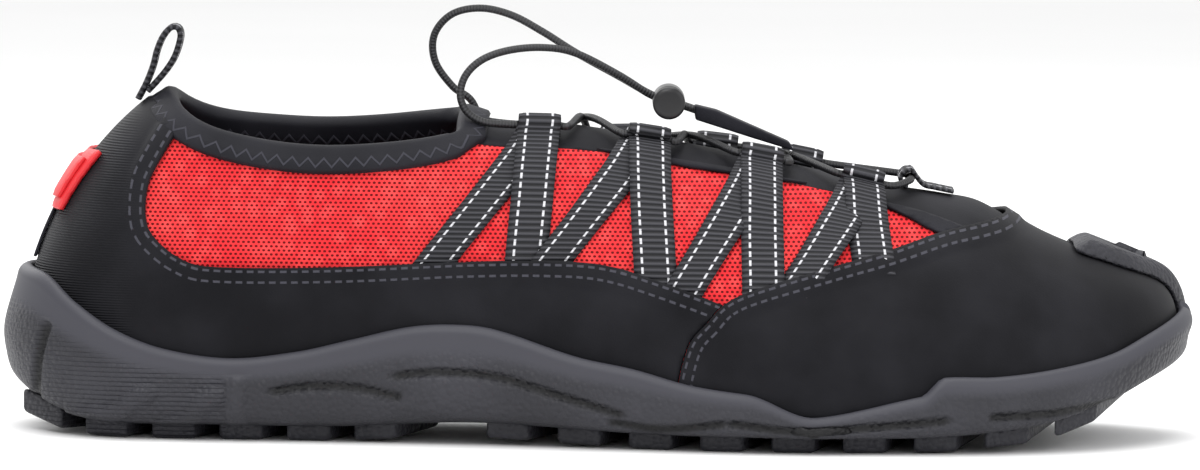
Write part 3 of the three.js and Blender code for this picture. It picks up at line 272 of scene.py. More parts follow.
def signed_distance(places: np.ndarray, outline: np.ndarray) -> np.ndarray:
    """Distance of places to a closed outline, positive inside it.

    Args:
        places: points in the plane, one per row.
        outline: the outline's corners in order.

    Returns:
        The signed distances.
    """
    nearest = np.full(len(places), np.inf)
    inside = np.zeros(len(places), bool)
    for start, end in zip(outline, np.roll(outline, -1, axis=0)):
        run = end - start
        share = np.clip(((places - start) @ run) / max(run @ run, 1e-12), 0, 1)
        gap = places - start - share[:, None] * run
        nearest = np.minimum(nearest, np.einsum("ij,ij->i", gap, gap))
        if start[1] != end[1]:
            crosses = (start[1] > places[:, 1]) != (end[1] > places[:, 1])
            at = start[0] + (places[:, 1] - start[1]) * run[0] / run[1]
            inside ^= crosses & (places[:, 0] < at)
    return np.where(inside, 1, -1) * np.sqrt(nearest)


def line_distance(places: np.ndarray, line: np.ndarray) -> tuple[np.ndarray, np.ndarray]:
    """Distance to a line in space and the place along it.

    Args:
        places: points, one per row.
        line: the line's points in order.

    Returns:
        The distances, and the lengths along the line of the nearest points.
    """
    nearest = np.full(len(places), np.inf)
    along = np.zeros(len(places))
    length = 0.0
    for start, end in zip(line[:-1], line[1:]):
        run = end - start
        size = math.sqrt(max(float(run @ run), 1e-12))
        share = np.clip(((places - start) @ run) / size**2, 0, 1)
        gap = places - start - share[:, None] * run
        distance = np.einsum("ij,ij->i", gap, gap)
        closer = distance < nearest
        nearest = np.where(closer, distance, nearest)
        along = np.where(closer, length + share * size, along)
        length += size
    return np.sqrt(nearest), along


@dataclass(frozen=True)
class Last:
    """The last's surface. u runs from heel to toe, v from the lateral foot (-1) over the crest to +1.

    The rounds hold reach and power of the plan's ends. The leans say how far the arches lean over at
    heel and toe, and along which shares of the length.
    """

    heel_round: Pair = (0.13, 2.1)
    toe_round: Pair = (0.24, 2.15)
    heel_lean: float = 0.235
    heel_lean_span: Pair = (0.02, 0.42)
    toe_lean: float = 0.03
    toe_lean_span: Pair = (0.8, 0.985)
    slope_step: float = 0.004
    tip_turn: float = 0.02
    grid: tuple[int, int] = (161, 81)
    plan_reach: float = 0.6
    rounds: int = 12
    search_step: float = 1e-4
    longest_move: Pair = (0.02, 0.04)
    least_area: float = 50.0

    def outline(self, v: np.ndarray, share: np.ndarray) -> np.ndarray:
        """Point of the sole's widest line, in plan.

        Args:
            v: any value whose sign names the side.
            share: the station from heel to toe.

        Returns:
            Plan points in mm.
        """
        at = (1 - np.cos(np.pi * share)) / 2
        width = np.where(v < 0, -lookup(SECTIONS, "lateral", at), lookup(SECTIONS, "medial", at))
        heel = self.rounding(at, *self.heel_round)
        toe = self.rounding(1 - at, *self.toe_round)
        centre = lookup(SECTIONS, "centre", at)
        return np.stack([along_x(at), (centre + width * heel * toe) * BALL_WIDTH], axis=-1)

    @staticmethod
    def rounding(distance: np.ndarray, radius: float, power: float) -> np.ndarray:
        """Share of the half width at a distance from a rounded end."""
        short = np.maximum(1 - distance / radius, 0)
        return (1 - short**power) ** (1 / power)

    def crest_place(self, at: np.ndarray) -> np.ndarray:
        """Length share where an arch that stands at another one meets the crest."""
        back = self.heel_lean * (1 - smoothstep(at, *self.heel_lean_span))
        return at + back - self.toe_lean * smoothstep(at, *self.toe_lean_span)

    def outward(self, v: np.ndarray, share: np.ndarray) -> np.ndarray:
        """Outward plan direction of the widest line.

        Args:
            v: any value whose sign names the side.
            share: the station from heel to toe.

        Returns:
            Unit directions in plan.
        """
        ahead = self.outline(v, np.clip(share + self.slope_step, 0, 1))
        behind = self.outline(v, np.clip(share - self.slope_step, 0, 1))
        run = ahead - behind
        run /= np.maximum(np.linalg.norm(run, axis=-1, keepdims=True), TINY)
        side = np.where(v < 0, -1.0, 1.0)
        out = np.stack([-run[..., 1] * side, run[..., 0] * side], axis=-1)
        out = np.where((share <= TIP)[..., None], [-1.0, 0.0], out)
        return np.where((share >= 1 - TIP)[..., None], [1.0, 0.0], out)

    def surface(self, u: np.ndarray, v: np.ndarray) -> np.ndarray:
        """Points of the last's own surface, in mm.

        Args:
            u: stations from heel to toe.
            v: turns over the last, from -1 to 1.

        Returns:
            The points.
        """
        u, v = np.broadcast_arrays(np.asarray(u, float), np.asarray(v, float))
        out = self.outward(v, u)
        foot = self.outline(v, u) - out * SOLE_FLANGE
        at = foot[..., 0] / SHOE_LENGTH + 0.5
        other = -np.where(v < 0, -1.0, 1.0)
        across = self.outline(other, u) - self.outward(other, u) * SOLE_FLANGE
        crest_at = (self.crest_place(at) + self.crest_place(across[..., 0] / SHOE_LENGTH + 0.5)) / 2
        edge = lookup(SECTIONS, "edge", at) * HEEL_HEIGHT
        low = lookup(SECTIONS, "low", at)
        shoulder = lookup(SECTIONS, "shoulder", at)
        flare = lookup(SECTIONS, "flare", at) * SOLE_FLANGE
        top = np.stack([along_x(crest_at), lookup(CREST, "side", crest_at) * BALL_WIDTH], axis=-1)
        crest = lookup(CREST, "height", crest_at) * INSTEP_HEIGHT
        turn = 1 - np.abs(v)
        early = 3 * (1 - turn) ** 2 * turn
        late = 3 * (1 - turn) * turn**2
        end = turn**3
        inward = (late * (1 - shoulder) + end)[..., None]
        upward = early * low + late + end
        plan = foot * (1 - inward) + top * inward + out * (early * flare)[..., None]
        return np.concatenate([plan, (edge + (crest - edge) * upward)[..., None]], axis=-1)

    def frame(self, u: np.ndarray, v: np.ndarray) -> tuple[np.ndarray, np.ndarray, np.ndarray, np.ndarray]:
        """Surface point, its two slopes and its outward normal.

        Args:
            u: stations from heel to toe.
            v: turns over the last, from -1 to 1.

        Returns:
            The points, the slopes along u and along v, and the unit normals.
        """
        u, v = np.broadcast_arrays(np.asarray(u, float), np.asarray(v, float))
        step = self.slope_step
        at_tip = (np.abs(v) < self.tip_turn) & ((u < TIP) | (u > 1 - TIP))
        slope_v = np.where(at_tip, self.tip_turn, v)
        u_low, u_high = np.clip(u - step, 0, 1), np.clip(u + step, 0, 1)
        v_low, v_high = np.clip(slope_v - step, -1, 1), np.clip(slope_v + step, -1, 1)
        du = (self.surface(u_high, v) - self.surface(u_low, v)) / (u_high - u_low)[..., None]
        dv = (self.surface(u, v_high) - self.surface(u, v_low)) / (v_high - v_low)[..., None]
        normal = np.cross(dv, du)
        at_end = (u < TIP) | (u > 1 - TIP)
        normal = np.where(at_end[..., None], self.end_normal(dv), normal)
        size = np.linalg.norm(normal, axis=-1, keepdims=True)
        normal = normal / np.maximum(size, TINY)
        point = self.surface(u, v)
        middle = np.stack([point[..., 0] * 0.8, point[..., 1] * 0.15, np.full(u.shape, 20.0)], axis=-1)
        away = np.einsum("...i,...i->...", normal, point - middle)
        return point, du, dv, np.where((away < 0)[..., None], -normal, normal)

    @staticmethod
    def end_normal(dv: np.ndarray) -> np.ndarray:
        """Normal on the middle line of the heel or toe, square to the line and in its plane."""
        return np.stack([-dv[..., 2], np.zeros_like(dv[..., 0]), dv[..., 0]], axis=-1)

    def offset(self, u: np.ndarray, v: np.ndarray, rise: np.ndarray) -> np.ndarray:
        """Points off the surface along its normal, in mm."""
        point, _, _, normal = self.frame(u, v)
        return point + normal * np.asarray(rise, float)[..., None]

    def find(self, first: np.ndarray, second: np.ndarray, side: Side, axes: tuple[int, int]) -> np.ndarray:
        """Places on one side of the surface that show at given coordinates.

        Args:
            first: wanted values on the first axis, in mm.
            second: wanted values on the second axis, in mm.
            side: the side of the shoe.
            axes: the two axes, (0, 2) for the side view and (0, 1) for the plan.

        Returns:
            The u and v values, one pair per row.
        """
        reach = 1.0 if axes == (0, 2) else self.plan_reach
        columns, lines = self.grid
        turns = np.linspace(0.0, reach, lines) * side.value
        grid_u, grid_v = np.meshgrid(np.linspace(0.0, 1.0, columns), turns)
        grid_u, grid_v = grid_u.ravel(), grid_v.ravel() + side.value * TIP
        cloud = self.surface(grid_u, grid_v)[:, list(axes)]
        wanted = np.stack([first, second], axis=-1)
        found = []
        for target in wanted:
            best = int(np.argmin(((cloud - target) ** 2).sum(axis=1)))
            found.append((grid_u[best], grid_v[best]))
        place = np.array(found)
        step = self.search_step
        for _ in range(self.rounds):
            here = self.surface(place[:, 0], place[:, 1])[:, list(axes)]
            du = (self.surface(np.clip(place[:, 0] + step, 0, 1), place[:, 1])[:, list(axes)] - here) / step
            dv = (self.surface(place[:, 0], place[:, 1] + step)[:, list(axes)] - here) / step
            miss = wanted - here
            det = du[:, 0] * dv[:, 1] - du[:, 1] * dv[:, 0]
            least = np.where(det < 0, -self.least_area, self.least_area)
            det = np.where(np.abs(det) < self.least_area, least, det)
            move_u = (miss[:, 0] * dv[:, 1] - miss[:, 1] * dv[:, 0]) / det
            move_v = (du[:, 0] * miss[:, 1] - du[:, 1] * miss[:, 0]) / det
            far_u, far_v = self.longest_move
            place[:, 0] = np.clip(place[:, 0] + np.clip(move_u, -far_u, far_u), step, 1 - step)
            v = place[:, 1] + np.clip(move_v, -far_v, far_v)
            place[:, 1] = side.value * np.clip(v * side.value, step, reach)
        return place


LAST = Last()
Eyes = dict[Side, list[tuple[np.ndarray, np.ndarray]]]


def height_line(rows: list[tuple[float, float]]) -> np.ndarray:
    """Side-view points in mm of rows of length share and heel-height share."""
    return np.array([(float(along_x(at)), height * HEEL_HEIGHT) for at, height in rows])


def side_field(line: np.ndarray, closing: list[Pair], sign: float = 1.0) -> Field:
    """Field that is positive inside a side-view outline.

    Args:
        line: the drawn edge in mm.
        closing: far corners that close the outline.
        sign: -1 to keep the outside.

    Returns:
        The field.
    """
    outline = np.vstack([curve_through(line, 60), np.array(closing)])

    def field_value(u: np.ndarray, v: np.ndarray, points: np.ndarray) -> np.ndarray:
        """Signed distance in the side view."""
        return sign * signed_distance(points[:, [0, 2]], outline)

    return field_value


def collar_field(lower: float, sign: float = 1.0) -> Field:
    """Field that is positive below the collar's edge.

    Args:
        lower: how far the line is set down, in mm.
        sign: -1 to keep the outside.

    Returns:
        The field.
    """

    def field_value(u: np.ndarray, v: np.ndarray, points: np.ndarray) -> np.ndarray:
        """Height below the collar line, with everything ahead of the collar inside."""
        at = points[:, 0] / SHOE_LENGTH + 0.5
        lateral = lookup(COLLAR_FULL, "lateral", at)
        medial = lookup(COLLAR_FULL, "medial", at)
        line = np.where(v < 0, lateral, medial) * HEEL_HEIGHT - lower
        below = line - points[:, 2]
        ahead = points[:, 0] - float(along_x(COLLAR_FRONT))
        return sign * np.maximum(below, ahead)

    return field_value


def throat_field(clearance: float, sign: float = 1.0) -> Field:
    """Field that is positive inside the throat's outline from above.

    Args:
        clearance: how far the outline is set in, in mm.
        sign: -1 to keep the outside.

    Returns:
        The field.
    """
    back = float(along_x(COLLAR_FRONT))
    edges = []
    for side in Side:
        line = [(float(along_x(at)), side.value * (y * BALL_WIDTH - clearance))
                for at, y in zip(THROAT["at"], THROAT[side.column])]
        line[0] = (back - THROAT_TAIL, line[0][1])
        edges.append(line)
    lateral, medial = edges
    front = (float(along_x(THROAT["at"][-1])) + 1.5 * SOLE_FLANGE - clearance, 0.1 * BALL_WIDTH)
    outline = np.array([*lateral, front, *medial[::-1]])

    def field_value(u: np.ndarray, v: np.ndarray, points: np.ndarray) -> np.ndarray:
        """Signed distance in plan, cut off behind the collar's front."""
        inside = signed_distance(points[:, :2], outline)
        ahead = points[:, 0] - back + 0.01
        high = np.where(points[:, 2] > THROAT_FLOOR, 100.0, -100.0)
        return sign * np.minimum(np.minimum(inside, ahead), high)

    return field_value


COLLAR_FULL = {
    "at": [0.129, *COLLAR["at"]],
    "lateral": [1.0, *COLLAR["lateral"]],
    "medial": [1.0, *COLLAR["medial"]],
}
WINDOW_LINE = height_line(WINDOW)
TOE_LINE = np.vstack([height_line(TOE_EDGE), [[float(along_x(0.84)), 53.5], [float(along_x(0.857)), 57.0]]])
STAY_LINE = height_line(EYESTAY_EDGE)
below_window = side_field(
    WINDOW_LINE, [(WINDOW_LINE[-1][0], UNDER), (-FAR, UNDER), (-FAR, FAR), (WINDOW_LINE[0][0], FAR)]
)
ahead_of_toe = side_field(
    TOE_LINE, [(TOE_LINE[-1][0] + 1, FAR), (FAR, FAR), (FAR, UNDER), (TOE_LINE[0][0], UNDER)]
)
behind_toe = side_field(
    TOE_LINE - [0.3, 0.0],
    [(TOE_LINE[-1][0] + 0.7, FAR), (FAR, FAR), (FAR, UNDER), (TOE_LINE[0][0], UNDER)],
    -1.0,
)
above_stay = side_field(STAY_LINE, [(FAR, STAY_LINE[-1][1]), (FAR, FAR), (STAY_LINE[0][0], FAR)])


def on_side(side: Side) -> Field:
    """Field that is positive on one side of the shoe."""

    def field_value(u: np.ndarray, v: np.ndarray, points: np.ndarray) -> np.ndarray:
        """Turn on the wanted side, in mm over the last."""
        return v * side.value * TURN_LENGTH

    return field_value


class Skin:
    """A cut-out of the last's surface that becomes one piece with a thickness."""

    def __init__(self, u_range: Pair, v_range: Pair, cells: tuple[int, int]) -> None:
        """Lay a grid over a part of the surface.

        Args:
            u_range: first and last station.
            v_range: first and last turn.
            cells: number of cells along and across.
        """
        self.bm = bmesh.new()
        bmesh.ops.create_grid(self.bm, x_segments=cells[0], y_segments=cells[1], size=1.0)
        for vert in self.bm.verts:
            share_u, share_v = (vert.co.x + 1) / 2, (vert.co.y + 1) / 2
            vert.co.x = u_range[0] + (u_range[1] - u_range[0]) * share_u
            vert.co.y = v_range[0] + (v_range[1] - v_range[0]) * share_v

    def places(self) -> tuple[np.ndarray, np.ndarray]:
        """The u and v of every vertex."""
        spots = np.array([vert.co[:2] for vert in self.bm.verts])
        return np.clip(spots[:, 0], 0, 1), np.clip(spots[:, 1], -1, 1)

    def cut(self, field_value: Field) -> "Skin":
        """Cut along a field's zero line and keep its positive side.

        Args:
            field_value: the field.

        Returns:
            The skin itself.
        """
        self.bm.verts.index_update()
        u, v = self.places()
        values = field_value(u, v, LAST.surface(u, v))
        values = np.where(np.abs(values) < SNAP, 0.0, values)
        crossings = []
        for edge in self.bm.edges:
            one, other = edge.verts
            if values[one.index] * values[other.index] < 0:
                share = values[one.index] / (values[one.index] - values[other.index])
                crossings.append((edge, one, share))
        on_line = [vert for vert in self.bm.verts if values[vert.index] == 0]
        made = [bmesh.utils.edge_split(edge, vert, float(share))[1] for edge, vert, share in crossings]
        bmesh.ops.connect_verts(self.bm, verts=made + on_line)
        self.bm.verts.index_update()
        u, v = self.places()
        values = field_value(u, v, LAST.surface(u, v))
        out = [face for face in self.bm.faces if sum(values[vert.index] for vert in face.verts) < 0]
        bmesh.ops.delete(self.bm, geom=out, context="FACES")
        return self

    def lay(self, rise: Field | float, lines: dict[str, np.ndarray] | None = None) -> dict[str, np.ndarray]:
        """Move the vertices onto the last.

        Args:
            rise: height off the last in mm, a number or a function of u, v and points.
            lines: side-view lines to measure the distance to, by attribute name.

        Returns:
            Values for each attribute, one per vertex.
        """
        self.bm.verts.index_update()
        u, v = self.places()
        points = LAST.surface(u, v)
        height = rise(u, v, points) if callable(rise) else np.full(len(u), float(rise))
        laid = LAST.offset(u, v, height)
        values = {}
        for name, line in (lines or {}).items():
            distance, along = line_distance(points[:, [0, 2]], line)
            values[name] = distance
            values[name + "_run"] = along
        for vert, place in zip(self.bm.verts, laid):
            vert.co = Vector(place * MM)
        return values


class Shader:
    """Short way to build a material's or a group's nodes."""

    def __init__(self, tree: bpy.types.NodeTree) -> None:
        """Work in a node tree."""
        self.tree = tree

    def add(self, kind: str, inputs: dict | None = None, **settings: object) -> bpy.types.Node:
        """Add a node.

        Args:
            kind: the node's type name without its ShaderNode prefix.
            inputs: numbers, colours or sockets by input name or index.
            settings: properties of the node.

        Returns:
            The node.
        """
        node = self.tree.nodes.new("ShaderNode" + kind)
        for key, value in settings.items():
            setattr(node, key, value)
        for key, value in (inputs or {}).items():
            if isinstance(value, bpy.types.NodeSocket):
                self.tree.links.new(value, node.inputs[key])
            else:
                node.inputs[key].default_value = value
        return node

    def math(self, operation: str, one: Value, other: Value = 0.0) -> bpy.types.NodeSocket:
        """Result of a math node."""
        return self.add("Math", {0: one, 1: other}, operation=operation).outputs[0]

    def ramp(self, value: Value, low: float, high: float, start: float = 0.0,
             end: float = 1.0) -> bpy.types.NodeSocket:
        """Smooth step of a value between two limits."""
        inputs = {"Value": value, "From Min": low, "From Max": high, "To Min": start, "To Max": end}
        return self.add("MapRange", inputs, interpolation_type="SMOOTHSTEP").outputs[0]

    def mix(self, share: Value, one: Tint, other: Tint) -> bpy.types.NodeSocket:
        """Mix of two colours.

        Args:
            share: how much of the second colour shows.
            one: the first colour.
            other: the second colour.

        Returns:
            The mixed colour.
        """
        node = self.add("Mix", {0: share}, data_type="RGBA")
        for index, value in ((6, one), (7, other)):
            if isinstance(value, bpy.types.NodeSocket):
                self.tree.links.new(value, node.inputs[index])
            else:
                node.inputs[index].default_value = (*value, 1.0)
        return node.outputs[2]

    def attribute(self, name: str) -> bpy.types.NodeSocket:
        """Value of a vertex attribute."""
        return self.add("Attribute", attribute_name=name).outputs["Fac"]


def make_group(name: str, inputs: dict[str, float], outputs: list[str],
               vector: bool = False) -> tuple[bpy.types.NodeTree, Shader, bpy.types.Node, bpy.types.Node]:
    """New node group with number sockets.

    Args:
        name: the group's name.
        inputs: its number inputs and their defaults.
        outputs: its number outputs.
        vector: whether it also has a vector input.

    Returns:
        The group, a shader helper, its input node and its output node.
    """
    group = bpy.data.node_groups.new(name, "ShaderNodeTree")
    if vector:
        group.interface.new_socket("Vector", in_out="INPUT", socket_type="NodeSocketVector")
    for key, value in inputs.items():
        socket = group.interface.new_socket(key, in_out="INPUT", socket_type="NodeSocketFloat")
        socket.default_value = value
    for key in outputs:
        group.interface.new_socket(key, in_out="OUTPUT", socket_type="NodeSocketFloat")
    return group, Shader(group), group.nodes.new("NodeGroupInput"), group.nodes.new("NodeGroupOutput")


class Effects:
    """Node groups that several materials share."""

    def __init__(self) -> None:
        """Build the groups."""
        self.grain = self.build_grain()
        self.stitch = self.build_stitch()

    @staticmethod
    def build_grain() -> bpy.types.NodeTree:
        """Fine grain: noise at one size and a slower cloudy change."""
        group, shader, source, sink = make_group(
            "fine_grain", {"Size": 0.8}, ["Height", "Cloud"], vector=True
        )
        scale = shader.math("DIVIDE", 1000.0, source.outputs["Size"])
        fine = shader.add("TexNoise", {"Vector": source.outputs["Vector"], "Scale": scale, "Detail": 3.0})
        slow = shader.add("TexNoise", {"Vector": source.outputs["Vector"], "Scale": 42.0, "Detail": 4.0})
        group.links.new(fine.outputs[0], sink.inputs["Height"])
        group.links.new(slow.outputs[0], sink.inputs["Cloud"])
        return group

    @staticmethod
    def build_stitch() -> bpy.types.NodeTree:
        """Row of stitches at a distance from a line, both in mm."""
        group, shader, source, sink = make_group(
            "stitch_row", {"Distance": 0.0, "Run": 0.0, "Place": 2.0, "Width": 0.5, "Pitch": 2.4}, ["Mask"]
        )
        off = shader.math("SUBTRACT", source.outputs["Distance"], source.outputs["Place"])
        near = shader.math("DIVIDE", shader.math("ABSOLUTE", off), source.outputs["Width"])
        across = shader.ramp(near, 0.35, 0.6, 1.0, 0.0)
        phase = shader.math("FRACT", shader.math("DIVIDE", source.outputs["Run"], source.outputs["Pitch"]))
        dash = shader.ramp(shader.math("ABSOLUTE", shader.math("SUBTRACT", phase, 0.5)), 0.27, 0.35, 1.0, 0.0)
        group.links.new(shader.math("MULTIPLY", across, dash), sink.inputs["Mask"])
        return group


@dataclass(frozen=True)
class Finish:
    """Colours and surface of one material."""

    name: str
    colour: Place
    light: Place
    roughness: float
    grain: float
    bump: float
    sheen: float = 0.0
    gloss: float = 0.1


class Materials:
    """Every material of the shoe."""

    def __init__(self) -> None:
        """Build the shared groups and the materials."""
        self.effects = Effects()
        self.neoprene = self.cloth(Finish(
            "neoprene", (0.006, 0.006, 0.008), (0.016, 0.016, 0.02),
            roughness=0.62, grain=0.5, bump=0.06, sheen=0.02
        ))
        self.foxing = self.panel("foxing", "band", 3.4)
        self.toe = self.panel("toe_panel", "toe", 3.0)
        self.binding = self.cloth(Finish(
            "binding", (0.006, 0.006, 0.009), (0.02, 0.02, 0.026),
            roughness=0.6, grain=0.35, bump=0.12, sheen=0.03
        ))
        self.lining = self.lining_cloth()
        self.collar = self.collar_tape()
        self.plastic = self.cloth(Finish(
            "lock_plastic", (0.008, 0.008, 0.009), (0.012, 0.012, 0.013),
            roughness=0.32, grain=0.4, bump=0.02, gloss=0.35
        ))
        self.badge = self.cloth(Finish(
            "badge_rubber", (0.52, 0.012, 0.018), (0.6, 0.02, 0.025),
            roughness=0.45, grain=0.6, bump=0.04, gloss=0.3
        ))
        self.mesh = self.mesh_cloth()
        self.rubber = self.sole_rubber()
        self.webbing = self.ribbed_webbing()
        self.cord = self.braided_cord()

    def start(self, name: str) -> tuple[bpy.types.Material, Shader, bpy.types.Node, bpy.types.NodeSocket]:
        """New material with its shader helper, its surface node and its coordinates."""
        material = bpy.data.materials.new(name)
        material.use_nodes = True
        shader = Shader(material.node_tree)
        surface = material.node_tree.nodes["Principled BSDF"]
        coordinates = shader.add("TexCoord").outputs["Object"]
        return material, shader, surface, coordinates

    def grain(self, shader: Shader, coordinates: bpy.types.NodeSocket, size: float) -> bpy.types.Node:
        """Fine grain effect in a material.

        Args:
            shader: the material's helper.
            coordinates: where the grain is read.
            size: size of one grain in mm.

        Returns:
            The effect's node, with Height and Cloud.
        """
        node = shader.add("Group", node_tree=self.effects.grain)
        shader.tree.links.new(coordinates, node.inputs["Vector"])
        node.inputs["Size"].default_value = size
        return node

    def stitches(self, shader: Shader, distance: bpy.types.NodeSocket, run: bpy.types.NodeSocket,
                 place: float, pitch: float, width: float) -> bpy.types.NodeSocket:
        """Stitch row effect in a material.

        Args:
            shader: the material's helper.
            distance: distance to the line, in mm.
            run: length along the line, in mm.
            place: distance at which the row lies.
            pitch: length from stitch to stitch.
            width: width of the thread.

        Returns:
            1 on a stitch and 0 off it.
        """
        node = shader.add("Group", node_tree=self.effects.stitch)
        shader.tree.links.new(distance, node.inputs["Distance"])
        shader.tree.links.new(run, node.inputs["Run"])
        node.inputs["Place"].default_value = place
        node.inputs["Pitch"].default_value = pitch
        node.inputs["Width"].default_value = width
        return node.outputs["Mask"]

    @staticmethod
    def bump(shader: Shader, surface: bpy.types.Node, height: Value, depth: float) -> None:
        """Give a surface a bump of a depth in mm."""
        node = shader.add("Bump", {"Strength": BUMP_STRENGTH, "Distance": depth * MM, "Height": height})
        shader.tree.links.new(node.outputs[0], surface.inputs["Normal"])

    @staticmethod
    def coat(shader: Shader, surface: bpy.types.Node, base: bpy.types.NodeSocket, roughness: float,
             gloss: float = 0.5, sheen: float = 0.0) -> None:
        """Give a surface its colour and how it takes light.

        Args:
            shader: the material's helper.
            surface: the material's surface node.
            base: its colour.
            roughness: its roughness.
            gloss: strength of its reflections.
            sheen: strength of its fuzz.
        """
        shader.tree.links.new(base, surface.inputs["Base Color"])
        surface.inputs["Roughness"].default_value = roughness
        surface.inputs["Specular IOR Level"].default_value = gloss
        surface.inputs["Sheen Weight"].default_value = sheen

    @staticmethod
    def flat_map(shader: Shader) -> bpy.types.Node:
        """The map of a swept piece, with its two numbers on the first outputs."""
        return shader.add("SeparateXYZ", {0: shader.add("UVMap", uv_map="flat").outputs[0]})

    def cloth(self, finish: Finish) -> bpy.types.Material:
        """Plain knit, tape or plastic with a fine grain.

        Args:
            finish: its colours and surface.

        Returns:
            The material.
        """
        material, shader, surface, coordinates = self.start(finish.name)
        grain = self.grain(shader, coordinates, finish.grain)
        colour = shader.mix(shader.ramp(grain.outputs["Cloud"], 0.3, 0.75), finish.colour, finish.light)
        self.coat(shader, surface, colour, finish.roughness, finish.gloss, finish.sheen)
        self.bump(shader, surface, grain.outputs["Height"], finish.bump)
        return material

    def panel(self, name: str, line: str, half: float) -> bpy.types.Material:
        """Neoprene panel with a folded band and two rows of stitches along a line.

        Args:
            name: the material's name.
            line: name of the attribute that holds the distance to the line.
            half: distance of the second row, in mm.

        Returns:
            The material.
        """
        material, shader, surface, coordinates = self.start(name)
        grain = self.grain(shader, coordinates, 0.5)
        distance, run = shader.attribute(line), shader.attribute(line + "_run")
        rows = [self.stitches(shader, distance, run, place, 2.6, 0.62) for place in (0.9, half)]
        stitched = shader.math("MAXIMUM", rows[0], rows[1])
        ribs = shader.add("TexWave", {"Vector": coordinates, "Scale": 520.0}, bands_direction="Z").outputs[1]
        heel = shader.ramp(shader.add("SeparateXYZ", {0: coordinates}).outputs[0], -0.108, -0.118)
        cloud = shader.ramp(grain.outputs["Cloud"], 0.3, 0.8)
        base = shader.mix(cloud, (0.004, 0.004, 0.0055), (0.012, 0.012, 0.015))
        base = shader.mix(stitched, base, (0.05, 0.05, 0.062))
        self.coat(shader, surface, base, roughness=0.58, gloss=0.1, sheen=0.02)
        ribbed = shader.math("MULTIPLY", shader.math("MULTIPLY", ribs, heel), 1.2)
        height = shader.math("ADD", shader.math("MULTIPLY", grain.outputs["Height"], 0.25), ribbed)
        height = shader.math("ADD", height, shader.math("MULTIPLY", stitched, 1.4))
        self.bump(shader, surface, height, 0.2)
        return material

    def lining_cloth(self) -> bpy.types.Material:
        """Knitted lining: dark, with a red belt and pale patches under the collar."""
        material, shader, surface, coordinates = self.start("lining")
        split = shader.add("SeparateXYZ", {0: coordinates})
        grain = self.grain(shader, coordinates, 0.7)
        belt = shader.math("MULTIPLY", shader.ramp(split.outputs[2], 0.052, 0.054),
                           shader.ramp(split.outputs[2], 0.0695, 0.0705, 1.0, 0.0))
        behind = shader.ramp(split.outputs[0], -0.036, -0.034, 1.0, 0.0)
        belt = shader.math("MULTIPLY", belt, behind)
        blots = shader.add("TexNoise", {"Vector": coordinates, "Scale": 95.0, "Detail": 1.0}).outputs[0]
        pale = shader.math("MULTIPLY", shader.ramp(blots, 0.56, 0.6), belt)
        base = shader.mix(belt, (0.01, 0.01, 0.012), (0.5, 0.02, 0.03))
        base = shader.mix(pale, base, (0.62, 0.55, 0.56))
        self.coat(shader, surface, base, roughness=0.85, gloss=0.12)
        self.bump(shader, surface, grain.outputs["Height"], 0.15)
        return material

    def collar_tape(self) -> bpy.types.Material:
        """Folded tape with a zigzag cover stitch; its map is in mm."""
        material, shader, surface, coordinates = self.start("collar_tape")
        flat = self.flat_map(shader)
        grain = self.grain(shader, coordinates, 0.35)
        phase = shader.math("FRACT", shader.math("DIVIDE", flat.outputs[0], 3.6))
        wave = shader.math("MULTIPLY", shader.math("ABSOLUTE", shader.math("SUBTRACT", phase, 0.5)), 4.4)
        off = shader.math("SUBTRACT", flat.outputs[1], shader.math("ADD", wave, 2.6))
        thread = shader.ramp(shader.math("ABSOLUTE", off), 0.25, 0.5, 1.0, 0.0)
        cloud = shader.ramp(grain.outputs["Cloud"], 0.3, 0.8)
        base = shader.mix(cloud, (0.006, 0.006, 0.009), (0.016, 0.016, 0.021))
        base = shader.mix(thread, base, (0.035, 0.035, 0.045))
        self.coat(shader, surface, base, roughness=0.6, gloss=0.18)
        height = shader.math("ADD", shader.math("MULTIPLY", grain.outputs["Height"], 0.3), thread)
        self.bump(shader, surface, height, 0.3)
        return material

    def mesh_cloth(self) -> bpy.types.Material:
        """Red spacer mesh: staggered pinholes and lighter tufts."""
        material, shader, surface, coordinates = self.start("mesh_cloth")
        split = shader.add("SeparateXYZ", {0: coordinates})
        row_place = shader.math("DIVIDE", split.outputs[2], 0.95 * MM)
        row = shader.math("FLOOR", row_place)
        stagger = shader.math("MULTIPLY", shader.math("MODULO", shader.math("ABSOLUTE", row), 2.0), 0.5)
        along = shader.math("ADD", shader.math("DIVIDE", split.outputs[0], 1.2 * MM), stagger)
        across = shader.math("SUBTRACT", shader.math("FRACT", along), 0.5)
        upward = shader.math("SUBTRACT", shader.math("FRACT", row_place), 0.5)
        squares = [shader.math("MULTIPLY", off, off) for off in (across, upward)]
        square = shader.math("ADD", *squares)
        hole = shader.ramp(shader.math("SQRT", square), 0.2, 0.36, 1.0, 0.0)
        tufts = shader.add("TexVoronoi", {"Vector": coordinates, "Scale": 260.0})
        tuft = shader.ramp(tufts.outputs[0], 0.15, 0.6, 1.0, 0.0)
        grain = self.grain(shader, coordinates, 0.4)
        base = shader.mix(tuft, (0.66, 0.022, 0.028), (0.84, 0.05, 0.052))
        base = shader.mix(shader.ramp(grain.outputs["Cloud"], 0.35, 0.8, 0.0, 0.35), base, (0.9, 0.09, 0.08))
        base = shader.mix(hole, base, (0.11, 0.003, 0.004))
        self.coat(shader, surface, base, roughness=0.7, gloss=0.12)
        height = shader.math("SUBTRACT", shader.math("MULTIPLY", tuft, 0.6), hole)
        self.bump(shader, surface, height, 0.3)
        return material

